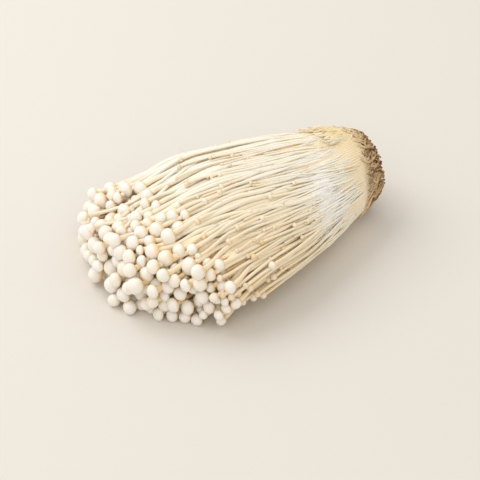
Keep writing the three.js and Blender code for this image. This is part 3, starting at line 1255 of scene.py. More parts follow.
@dataclass(frozen=True)
class FuzzFinish:
    """Mycelium: a matt cool white down over the stem bases."""

    name: str = "mycelium_down"
    white: Colour = (0.90, 0.875, 0.82)
    grey: Colour = (0.88, 0.83, 0.73)

    def make(self) -> bpy.types.Material:
        """Makes the material.

        Returns:
            The material.
        """
        w = Wiring(self.name)
        clouds = w.noise(300, 4)
        w.feed(w.shader.inputs["Base Color"], w.mix(w.spread(clouds, 0.35, 0.7), self.white, self.grey))
        w.shader.inputs["Roughness"].default_value = 0.95
        w.shader.inputs["Specular IOR Level"].default_value = 0.15
        w.shader.inputs["Sheen Weight"].default_value = 0.3
        w.shader.inputs["Sheen Roughness"].default_value = 0.6
        w.feed(w.shader.inputs["Normal"], w.relief(w.noise(1400, 4), 0.2 * MM))
        return w.material


@dataclass(frozen=True)
class DryFinish:
    """Dried stem bases and the sawdust under them: straw and brown, pale in places, with painted shade dark
    in the cracks of the relief, and dark where a mark carries painted shade and browning.
    """

    name: str
    straw: Colour = (0.76, 0.51, 0.245)
    brown: Colour = (0.42, 0.24, 0.10)
    # painted shade in the cracks and between the strands, and the browning of withered bases and of the cut
    dark: Colour = (0.12, 0.06, 0.02)
    pale: Colour = (0.82, 0.63, 0.37)
    fresh: Colour = (0.89, 0.76, 0.50)
    grain_size: float = 700
    crack_depth: float = 0.5 * MM
    fibrous: bool = False

    def make(self) -> bpy.types.Material:
        """Makes the material.

        Returns:
            The material.
        """
        w = Wiring(self.name)
        along = w.mark("grain", vector=True) if self.fibrous else None
        fibres = w.noise(self.grain_size, 5, along, roughness=0.7)
        broad = w.noise(170, 3)
        body = w.mix(w.spread(w.mark("tone"), 0.15, 1.0), self.brown, self.straw)
        body = w.mix(w.spread(fibres, 0.5, 0.68, 0, 0.6), body, self.pale)
        # painted shade: darkest where the relief cuts deepest
        body = w.mix(w.spread(fibres, 0.48, 0.37), body, self.dark)
        body = w.mix(w.spread(broad, 0.56, 0.7, 0, 0.35), body, self.pale)
        body = w.mix(w.times(w.mark("fresh"), w.spread(fibres, 0.36, 0.5)), body, self.fresh)
        # painted shade on the block's sides, and the browning of the dried bases at the cut and where
        # withered
        body = w.mix(w.mark("deep"), body, self.dark)
        w.feed(w.shader.inputs["Base Color"], body)
        w.shader.inputs["Roughness"].default_value = 0.85
        w.shader.inputs["Specular IOR Level"].default_value = 0.25
        rough = w.relief(fibres, self.crack_depth)
        w.feed(w.shader.inputs["Normal"], w.relief(w.noise(2600, 2), 0.1 * MM, rough))
        return w.material


@dataclass(frozen=True)
class FloorFinish:
    """A plain pale surface to lie on."""

    name: str = "pale_floor"
    pale: Colour = (0.75, 0.705, 0.64)
    shade: Colour = (0.73, 0.685, 0.62)

    def make(self) -> bpy.types.Material:
        """Makes the material.

        Returns:
            The material.
        """
        w = Wiring(self.name)
        w.feed(w.shader.inputs["Base Color"], w.mix(w.noise(3, 2), self.pale, self.shade))
        w.shader.inputs["Roughness"].default_value = 0.8
        return w.material


# ---------------------------------------------------------------- the pieces


def finished(piece: bpy.types.Object, finish: bpy.types.Material, node: str) -> bpy.types.Object:
    """Gives a piece its finish and its place in the frame, and reports it.

    Args:
        piece: the piece, with its place in its mesh.
        finish: its material.
        node: the solid that it stands for.

    Returns:
        The piece.
    """
    piece.data.materials.clear()
    piece.data.materials.append(finish)
    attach(piece, BODY)
    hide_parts(node)
    faces = sum(len(face.vertices) - 2 for face in piece.data.polygons)
    log.info("%s: %d triangles", piece.name, faces)
    return piece


@dataclass
class AgeingAndPaintedShade:
    """How the flesh has aged: fresh at the caps, golden at the collar, fused and dried at the foot; and
    painted shade, tan and darker on the near, lower side, away from the light.
    """

    habit: Habit
    cream_to: float = 75 * MM
    dry_from: float = 8 * MM
    dry_near: float = 14 * MM
    dry_length: float = 7 * MM
    gold_at: float = 20 * MM
    gold_length: float = 12 * MM
    gold_angle: float = 1.45
    # the angle where the painted shade of the near, lower side is least: the side that the light falls on
    painted_shade_least_at: float = 0.26
    down_at: float = 50 * MM
    down_length: float = 17 * MM
    down_angle: float = math.radians(148)
    down_turn: float = 0.75
    specks_at: float = 82 * MM
    specks_length: float = 26 * MM
    specks_angle: float = 0.5

    def marks(self, s: np.ndarray, phi: np.ndarray) -> Marks:
        """Finds the marks that the stem finish reads.

        Args:
            s: distances from the cut face.
            phi: angles about the axis.

        Returns:
            The marks, by name.
        """
        near = np.maximum(-np.cos(phi), 0)
        dry = smooth((self.dry_from + self.dry_near * near - s) / self.dry_length)
        side = np.maximum(np.cos(phi - self.gold_angle), 0) ** 1.5
        gold = fade(s - self.gold_at, self.gold_length) * side
        age = 0.7 * smooth((self.cream_to - s) / self.cream_to)
        specks = fade(s - self.specks_at, self.specks_length) * np.maximum(np.sin(phi - self.specks_angle), 0)
        turn = np.arctan2(np.sin(phi - self.down_angle), np.cos(phi - self.down_angle))
        down = fade(s - self.down_at, self.down_length) * fade(turn, self.down_turn)
        # painted shade: the near, lower side is tan and darker, as the light reaches it less
        tan = 0.7 * smooth(0.45 - 0.55 * np.cos(phi - self.painted_shade_least_at))
        return {"dry": dry, "gold": gold, "age": age, "specks": specks, "down": 0.8 * down, "tan": tan}


@dataclass
class Stems:
    """The stems of one or more layers, each a thin tube from the foot to its cap."""

    growth: Growth
    ageing_and_shade: AgeingAndPaintedShade
    name: str
    layers: tuple[Layer, ...]
    sides: int
    rings: int
    # how much painted warm shade the whole layer carries
    depth: float = 0.0
    # how much painted warm shade rises towards each neck, among the caps
    neck_painted_shade: float = 0.27
    shaded_neck: float = 16 * MM
    sunk: float = 0.35
    taper: float = 14 * MM

    def build(self, finish: bpy.types.Material) -> bpy.types.Object:
        """Models the stem once, grows a copy along each settled line, and dresses the piece.

        Args:
            finish: the material of the stems.

        Returns:
            The piece.
        """
        pattern = Pattern.tube(self.name, self.sides, self.rings)
        chosen = [i for i, m in enumerate(self.growth.mushrooms) if m.layer in self.layers]
        across, up, _, ring = pattern.rings(self.rings)
        angle = np.arctan2(up, across)
        corners, tone, grain, marks = [], [], [], []
        for i in chosen:
            one = self.growth.mushrooms[i]
            seed = np.random.default_rng(i)
            end = one.tip[0] - self.sunk * one.cap
            s = one.start + (end - one.start) * np.linspace(0, 1, self.rings + 1) ** 0.96
            line = self.growth.settled_line(i, np.minimum(s, one.neck))
            along, aside, upward = frames_along(line)
            line += along * np.maximum(s - one.neck, 0)[:, None]
            size = self.growth.stem_size(one, s) * self.swelling(s / end, seed)
            size = size * (0.3 + 0.7 * smooth((s - one.start) / self.taper) ** 0.7)
            flat = 1 + 0.08 * math.sin(6.3 * one.phase)
            x = np.cos(angle) * size[ring] * flat
            y = np.sin(angle) * size[ring] / flat
            corners.append(wrapped(line[None], aside[None], upward[None], x[None], y[None], ring)[0])
            tone.append(np.full(len(ring), 0.15 + 0.7 * seed.random()))
            shift = seed.random(3) * 40
            run = s[ring] / (7 * MM)
            grain.append(np.stack([np.cos(angle) * 2.2, np.sin(angle) * 2.2, run], -1) + shift)
            marks.append(self.ageing_and_shade.marks(s[ring], np.full(len(ring), one.phi)))
            # painted warm shade on the deeper layers, rising near each neck among the caps
            shaded = smooth((s[ring] - one.neck + self.shaded_neck) / (12 * MM))
            marks[-1]["deep"] = np.maximum(self.depth, self.neck_painted_shade * shaded)
        values = {key: np.array([m[key] for m in marks]) for key in marks[0]}
        values.update(tone=np.array(tone), grain=np.array(grain))
        piece = pattern.copied(self.name, np.array(corners), values)
        return finished(piece, finish, BUNCH_NODE)

    @staticmethod
    def swelling(share: np.ndarray, seed: np.random.Generator) -> np.ndarray:
        """Makes a stem a little thicker and thinner along its length, and wider at its cap.

        Args:
            share: shares of the way along it.
            seed: the draws of this stem.

        Returns:
            How thick it is, as a share of its thickness.
        """
        waves = sum(
            0.035 * np.sin(2 * math.pi * (turns * share + seed.random())) * seed.random()
            for turns in (2.3, 5.1, 9.7)
        )
        return 1 + waves + 0.14 * smooth((share - 0.93) / 0.07)


class CapShape(Enum):
    """The shapes that the caps have grown to: radius and height above the middle, in cap radii."""

    BUTTON = (
        (0.32, -0.54), (0.64, -0.62), (0.87, -0.46), (0.985, -0.16), (0.99, 0.16),
        (0.88, 0.48), (0.68, 0.74), (0.40, 0.91), (0.13, 0.98),
    )
    DOME = (
        (0.34, -0.40), (0.68, -0.50), (0.92, -0.38), (1.02, -0.12), (1.0, 0.16),
        (0.88, 0.44), (0.66, 0.67), (0.38, 0.82), (0.12, 0.88),
    )
    BEAD = (
        (0.34, -0.66), (0.66, -0.70), (0.87, -0.50), (0.97, -0.16), (0.97, 0.18),
        (0.87, 0.50), (0.67, 0.76), (0.40, 0.93), (0.13, 1.0),
    )


@dataclass
class Caps:
    """The caps: round buttons, each tilted a little on its stem."""

    growth: Growth
    tilt: float = 0.2
    faces_front: float = 0.7
    faces_up: float = 0.35
    tiny: float = 1.7 * MM
    brown_below: float = 2.7 * MM
    baseline: float = 9 * MM

    def build(self, finish: bpy.types.Material) -> list[bpy.types.Object]:
        """Models each shape of cap once and sets its copies on the stems.

        Args:
            finish: the material of the caps.

        Returns:
            The pieces, two for each shape: its larger caps and its smallest ones.
        """
        pieces = []
        for number, shape in enumerate(CapShape):
            chosen = range(number, len(self.growth.mushrooms), len(CapShape))
            big = [i for i in chosen if self.growth.mushrooms[i].cap > self.tiny]
            pins = [i for i in chosen if self.growth.mushrooms[i].cap <= self.tiny]
            name = f"caps_{shape.name.lower()}"
            pieces.append(self.set_on(name, shape.value, 20, big, finish))
            pieces.append(self.set_on(f"pin_{name}", shape.value[1::2], 10, pins, finish))
        return pieces

    def set_on(
        self,
        name: str,
        profile: tuple[tuple[float, float], ...],
        sides: int,
        chosen: list[int],
        finish: bpy.types.Material,
    ) -> bpy.types.Object:
        """Sets copies of one cap on the stems of some mushrooms, as one piece.

        Args:
            name: the piece's name.
            profile: radius and height of each ring of the cap, in cap radii.
            sides: sides of each ring.
            chosen: the mushrooms.
            finish: the material of the caps.

        Returns:
            The piece.
        """
        pattern = Pattern.turned(name, sides, list(profile))
        corners, tone, height, pin = [], [], [], []
        u, v, w = pattern.corners.T
        angle = np.arctan2(v, u)
        for i in chosen:
            one = self.growth.mushrooms[i]
            seed = np.random.default_rng(1000 + i)
            s = np.array([one.neck - self.baseline, one.neck])
            line = self.growth.settled_line(i, s)
            along = unit(line[1] - line[0])
            lean = seed.normal(size=3) * self.tilt + np.array([-self.faces_front, 0, self.faces_up])
            axis = unit(along + lean)
            settled = self.growth.habit.place(*one.tip)
            middle = 0.4 * (line[1] + along * 0.55 * one.cap) + 0.6 * settled
            aside = unit(np.cross(axis, [0.1, 0.2, 1.0]))
            upward = np.cross(axis, aside)
            lobes = 1 + 0.035 * np.sin(2 * angle + 6.3 * seed.random())
            lobes = lobes + 0.02 * np.sin(3 * angle + 6.3 * seed.random())
            wide = one.cap * lobes * seed.uniform(0.99, 1.06)
            tall = one.cap * seed.uniform(0.9, 1.02)
            points = middle + aside * (u * wide)[:, None] + upward * (v * wide)[:, None]
            corners.append(above_table(points + axis * (w * tall)[:, None]))
            tone.append(np.full(len(w), seed.random()))
            height.append(w)
            brown = np.clip((self.brown_below - one.cap) / MM, 0, 1) * seed.uniform(0.35, 1.0)
            pin.append(np.full(len(w), brown))
        marks = {"tone": np.array(tone), "height": np.array(height), "pin": np.array(pin)}
        piece = pattern.copied(name, np.array(corners), marks)
        return finished(piece, finish, BUNCH_NODE)


@dataclass
class PackedHeart:
    """The dense middle of the bunch under the visible stems: fused and finely ridged at the foot, and
    coloured all over with painted warm shade.
    """

    growth: Growth
    ageing_and_shade: AgeingAndPaintedShade
    sides: int = 660
    ridges: int = 132
    rings: int = 50
    closing_rings: int = 9
    foot_inset: float = 0.55 * MM
    inset: float = 2.3 * MM
    ridge_height: float = 0.5 * MM
    behind_caps: float = 8 * MM
    dome: float = 16 * MM
    sinks_from: float = 42 * MM
    sinks_over: float = 42 * MM
    sinks_more_from: float = 85 * MM
    sinks_more_over: float = 60 * MM
    sinks_more_by: float = 1.5 * MM
    clear: float = 0.03 * MM

    def build(self, finish: bpy.types.Material) -> bpy.types.Object:
        """Models a ridged tube and lays it inside the bunch.

        Args:
            finish: the material of the stems.

        Returns:
            The piece.
        """
        habit = self.growth.habit
        turns = [k / self.closing_rings * math.pi / 2 for k in range(1, self.closing_rings + 1)]
        profile = [(1.0, i / self.rings) for i in range(self.rings + 1)]
        profile += [(max(math.cos(turn), 0.05), 1 + math.sin(turn)) for turn in turns]
        pattern = Pattern.turned("packed_heart", self.sides, profile)
        across, up, share = pattern.corners.T
        phi = np.arctan2(up, across)
        rho = np.hypot(across, up)
        first = habit.block_length * 0.8
        top = np.maximum(np.sin(phi + habit.top_lean), 0) ** habit.top_narrowness
        s = np.full(len(phi), habit.front)
        for _ in range(5):
            y, _ = habit.section(rho, phi, s, self.inset)
            front = habit.front_at(y) - self.behind_caps
            body_ends = habit.front_at(y / np.maximum(rho, 0.05)) - self.behind_caps - self.dome
            body_ends = body_ends - 0.6 * habit.top_setback * top
            closing = body_ends + (front - body_ends) * np.maximum(share - 1, 0)
            s = np.where(share <= 1, first + (body_ends - first) * share, closing)
        sunk = smooth((s - self.sinks_from) / self.sinks_over)
        inset = self.foot_inset + (self.inset - self.foot_inset) * sunk
        inset = inset + self.sinks_more_by * smooth((s - self.sinks_more_from) / self.sinks_more_over)
        wander = 1.6 * np.sin(3 * phi + s / (23 * MM)) + 0.9 * np.sin(7 * phi - s / (13 * MM) + 2)
        ridge = self.ridge_height * np.abs(np.cos(self.ridges / 2 * phi + wander))
        y, z = habit.section(rho, phi, s, inset - ridge + 0.02 * habit.foot_radius)
        points = habit.place(s, y, np.maximum(z, self.clear))
        marks = self.ageing_and_shade.marks(s, phi)
        marks["tone"] = np.full(len(s), 0.75)
        # painted shade: the middle is seen only in the gaps, so it is warm orange all over
        marks["deep"] = np.full(len(s), 1.0)
        marks["grain"] = np.stack([phi * 40, 0 * phi, s / (6 * MM)], -1)[None]
        values = {key: value if value.ndim == 3 else value[None] for key, value in marks.items()}
        piece = pattern.copied("packed_heart", points[None], values)
        return finished(piece, finish, BUNCH_NODE)


@dataclass
class Fibres:
    """Fine threads, each a thin tapered spike that curls as it goes."""

    name: str
    sides: int
    rings: int

    def build(
        self,
        roots: np.ndarray,
        starts: np.ndarray,
        bends: np.ndarray,
        lengths: np.ndarray,
        radii: np.ndarray,
        marks: Marks,
        blunt: float = 0.25,
    ) -> bpy.types.Object:
        """Models the thread once and sets a copy at each root.

        Args:
            roots: where each thread starts.
            starts: the direction that each sets out in.
            bends: the direction that each turns towards, as much as it is long in turns.
            lengths: how long each is.
            radii: how thick each is at its root.
            marks: values of each thread that the finish reads, by name.
            blunt: the radius at the free end, as a share of that at the root.

        Returns:
            The piece, without a finish.
        """
        pattern = Pattern.tube(self.name, self.sides, self.rings)
        across, up, share, ring = pattern.rings(self.rings)
        t = np.linspace(0, 1, self.rings + 1)[None, :, None]
        line = roots[:, None] + lengths[:, None, None] * (starts[:, None] * t + 0.5 * bends[:, None] * t * t)
        along = unit(starts[:, None] + bends[:, None] * t)
        aside = unit(np.cross(along, np.array([0.31, 0.22, 0.92])))
        upward = np.cross(along, aside)
        taper = 1 - (1 - blunt) * t[0, :, 0] ** 1.6
        size = (radii[:, None] * taper[None])[:, ring]
        corners = wrapped(line, aside, upward, across * size, up * size, ring)
        values = {key: np.repeat(value[:, None], len(ring), 1) for key, value in marks.items()}
        run = np.arange(len(roots))[:, None] * 3.7 + lengths[:, None] * share / GRAIN_LENGTH
        values["grain"] = strand_grain(across, up, run)
        return pattern.copied(self.name, corners, values)


@dataclass
class Strands:
    """Tubes that lie along the outside of the bunch, such as the dried and the stunted stems of its foot."""

    habit: Habit
    name: str
    sides: int
    rings: int

    def build(
        self,
        phi: np.ndarray,
        first: np.ndarray,
        last: np.ndarray,
        radii: np.ndarray,
        proud: np.ndarray,
        marks: Callable[[np.ndarray, np.ndarray, np.ndarray], Marks],
        seed: np.random.Generator,
        wander: float = 0.03,
        curl: float = 0.0,
        waist: float = 0.93,
    ) -> bpy.types.Object:
        """Models the strand once and lays a copy at each angle.

        Args:
            phi: the angle of each about the axis.
            first: where each starts.
            last: where each ends.
            radii: how thick each is.
            proud: how far each lifts off the others at its far end.
            marks: gives the values that the finish reads, from s, phi and the share of the way.
            seed: for the draws of this piece.
            wander: the most that a strand goes astray, in radians.
            curl: how much the far ends turn aside, in radians.
            waist: how far in they are rooted, as a share of the radius of the foot.

        Returns:
            The piece, without a finish.
        """
        pattern = Pattern.tube(self.name, self.sides, self.rings)
        across, up, share, ring = pattern.rings(self.rings)
        t = np.linspace(0, 1, self.rings + 1)[None]
        count = len(phi)
        first, last, radii, proud = (np.asarray(v, float)[:, None] for v in (first, last, radii, proud))
        turns = seed.uniform(0.5, 1.6, (count, 1))
        phase = seed.random((count, 1)) * 2 * math.pi
        angle = phi[:, None] + wander * np.sin(turns * 2 * math.pi * t + phase)
        angle = angle + curl * seed.normal(size=(count, 1)) * t**2
        s = first + (last - first) * t
        swell = 1 + 0.16 * np.sin(3 * turns * 2 * math.pi * t + 2 * phase)
        size = radii * swell * (1 - 0.85 * smooth((t - 0.74) / 0.26) ** 1.5)
        inset = radii * 0.8 - proud * t**2 + 0.25 * MM * np.sin(2 * turns * 2 * math.pi * t + 3 * phase)
        rho = (waist + (1 - waist) * smooth(s / (45 * MM))) * self.habit.rounded(s, angle)
        y, z = self.habit.section(rho, angle, s, inset)
        line = self.habit.place(s, y, z)
        _, aside, upward = frames_along(line)
        flat = seed.uniform(0.8, 1.0, (count, 1))
        x = across * (size / flat)[:, ring]
        h = up * (size * flat)[:, ring]
        corners = wrapped(line, aside, upward, x, h, ring)
        values = marks(s[:, ring], angle[:, ring], np.broadcast_to(share, (count, len(share))))
        run = s[:, ring] / GRAIN_LENGTH + 7.3 * np.arange(count)[:, None]
        values["grain"] = strand_grain(across, up, run)
        return pattern.copied(self.name, corners, values)


@dataclass
class OuterSkin:
    """How high the settled stems stand over the axis, all round the bunch."""

    growth: Growth

    def heights(self, s: np.ndarray, phi: np.ndarray) -> np.ndarray:
        """Finds how far out the stems reach.

        Args:
            s: distances from the cut face, one for each row.
            phi: directions from the axis, one for each column.

        Returns:
            The reach from the axis by row and column.
        """
        habit = self.growth.habit
        directions = np.stack([np.cos(phi), np.sin(phi)], -1)
        reach = np.zeros((len(s), len(phi)))
        for index, one in enumerate(self.growth.mushrooms):
            line = self.growth.settled_line(index, s)
            middle = np.stack([line[:, 1] - habit.axis_y, line[:, 2] - habit.axis_height(s)], -1)
            size = self.growth.stem_size(one, s)
            out = middle @ directions.T
            beside = middle[:, :1] * directions[:, 1] - middle[:, 1:] * directions[:, 0]
            inside = size[:, None] ** 2 - beside**2
            met = (inside > 0) & (out > 0) & (s[:, None] >= one.start) & (s[:, None] <= one.neck)
            reach = np.where(met, np.maximum(reach, out + np.sqrt(np.maximum(inside, 0))), reach)
        return reach


@dataclass
class Mycelium:
    """White down that has grown over the fused stem bases, and the loose hairs about the foot."""

    growth: Growth
    seed: int = 31
    threads: int = 4200
    hairs: int = 84
    patch_at: float = 50 * MM
    patch_angle: float = math.radians(149)
    patch_length: float = 8.5 * MM
    patch_turn: float = 0.50

    def cover(self, s: np.ndarray, phi: np.ndarray) -> np.ndarray:
        """Finds how thickly the down covers a place.

        Args:
            s: distances from the cut face.
            phi: angles about the axis.

        Returns:
            The cover, above 0 inside the ragged patch.
        """
        along = (s - self.patch_at - 3 * MM * np.sin(5 * phi)) / self.patch_length
        around = (phi - self.patch_angle) / self.patch_turn
        waves = ((0.26, 23, 400), (0.26, 47, -300), (0.3, 83, 90))
        ragged = sum(depth * np.sin(turns * phi + wander * s) for depth, turns, wander in waves)
        return 1 - along**2 - around**2 + ragged

    def build(self, down: bpy.types.Material, flesh: bpy.types.Material) -> list[bpy.types.Object]:
        """Models the felt, its threads and the loose hairs.

        Args:
            down: the material of the down.
            flesh: the material of the hairs.

        Returns:
            The pieces.
        """
        return [self.felt(down), self.loose_threads(down), self.stray_hairs(flesh)]

    def felt(self, finish: bpy.types.Material) -> bpy.types.Object:
        """Models a thin felt that lies over the stems and sinks between them at its edge.

        Args:
            finish: the material of the down.

        Returns:
            The piece.
        """
        rows, columns = 64, 190
        habit = self.growth.habit
        bpy.ops.object.select_all(action="DESELECT")
        bpy.ops.mesh.primitive_grid_add(x_subdivisions=rows - 1, y_subdivisions=columns - 1, size=2)
        pattern = Pattern.taken_from(bpy.context.object)
        s = self.patch_at + pattern.corners[:, 0] * self.patch_length * 1.6
        phi = self.patch_angle + pattern.corners[:, 1] * self.patch_turn * 1.45
        row_at = np.unique(np.round(s, 9))
        column_at = np.unique(np.round(phi, 9))
        reach = OuterSkin(self.growth).heights(row_at, column_at)
        beside = np.pad(reach, ((0, 0), (2, 2)), mode="edge")
        reach = np.maximum.reduce([beside[:, k : k + columns] for k in range(5)])
        for _ in range(6):
            reach[:, 1:-1] = 0.25 * (reach[:, 2:] + reach[:, :-2]) + 0.5 * reach[:, 1:-1]
            reach[1:-1] = 0.25 * (reach[2:] + reach[:-2]) + 0.5 * reach[1:-1]
        row = np.searchsorted(row_at, np.round(s, 9))
        column = np.searchsorted(column_at, np.round(phi, 9))
        lumps = 0.12 * np.random.default_rng(self.seed + 2).normal(size=len(s)) - 0.12
        height = reach[row, column] + (lumps - 3.0 * (1 - smooth(self.cover(s, phi) * 0.5 + 0.45))) * MM
        middle = habit.place(s, 0 * s, habit.axis_height(s))
        out = np.stack([0 * s, np.cos(phi), np.sin(phi)], -1)
        piece = pattern.copied("mycelium_felt", (middle + out * height[:, None])[None], {})
        pick(piece)
        modified(piece, "SOLIDIFY", thickness=0.4 * MM, offset=-1)
        return finished(piece, finish, BUNCH_NODE)

    def loose_threads(self, finish: bpy.types.Material) -> bpy.types.Object:
        """Models the threads that lie across the felt and about its edge.

        Args:
            finish: the material of the down.

        Returns:
            The piece.
        """
        habit = self.growth.habit
        seed = np.random.default_rng(self.seed)
        s = self.patch_at + seed.normal(size=self.threads * 3) * self.patch_length * 0.75
        phi = self.patch_angle + seed.normal(size=self.threads * 3) * self.patch_turn * 0.75
        kept = np.flatnonzero(self.cover(s, phi) > -0.9 * seed.random(len(s)))[: self.threads]
        s, phi = s[kept], phi[kept]
        count = len(kept)
        rho = self.growth.root_rho + (1 - self.growth.root_rho) * smooth(s / self.growth.root_length)
        roots = habit.place(s, *habit.section(rho, phi, s, 0.3 * MM))
        out = habit.outward(s, phi)
        aside = unit(np.cross(out, [1.0, 0, 0]))
        turn = seed.random(count) * 2 * math.pi
        flat = aside * np.cos(turn)[:, None] + np.cross(out, aside) * np.sin(turn)[:, None]
        starts = unit(flat + out * seed.uniform(0.15, 0.7, count)[:, None])
        bends = unit(seed.normal(size=(count, 3))) * 0.7 - out * 0.6
        lengths = seed.uniform(0.8, 2.6, count) * MM
        radii = seed.uniform(0.035, 0.07, count) * MM
        piece = Fibres("mycelium_threads", 3, 3).build(roots, starts, bends, lengths, radii, {})
        return finished(piece, finish, BUNCH_NODE)

    def stray_hairs(self, finish: bpy.types.Material) -> bpy.types.Object:
        """Models fine stems that have come loose about the foot and the edges of the fan.

        Args:
            finish: the material of the stems.

        Returns:
            The piece.
        """
        habit = self.growth.habit
        seed = np.random.default_rng(self.seed + 1)
        s = seed.uniform(20, 128, self.hairs) * MM
        side = seed.random(self.hairs)
        phi = np.where(side < 0.6, seed.uniform(2.9, 3.6, self.hairs), seed.uniform(-0.3, 2.9, self.hairs))
        roots = habit.place(s, *habit.section(1.0, phi, s, 0.9 * MM))
        out = habit.outward(s, phi)
        starts = unit(np.array([-1.0, 0, 0]) + out * seed.uniform(0.1, 0.5, self.hairs)[:, None])
        bends = unit(seed.normal(size=(self.hairs, 3))) * seed.uniform(0.2, 1.1, self.hairs)[:, None]
        lengths = seed.uniform(4, 11, self.hairs) * MM
        radii = seed.uniform(0.14, 0.42, self.hairs) * MM
        marks = AgeingAndPaintedShade(habit).marks(s, phi)
        marks["tone"] = seed.uniform(0.2, 0.8, self.hairs)
        piece = Fibres("stray_stems", 5, 9).build(roots, starts, bends, lengths, radii, marks, blunt=0.6)
        return finished(piece, finish, BUNCH_NODE)


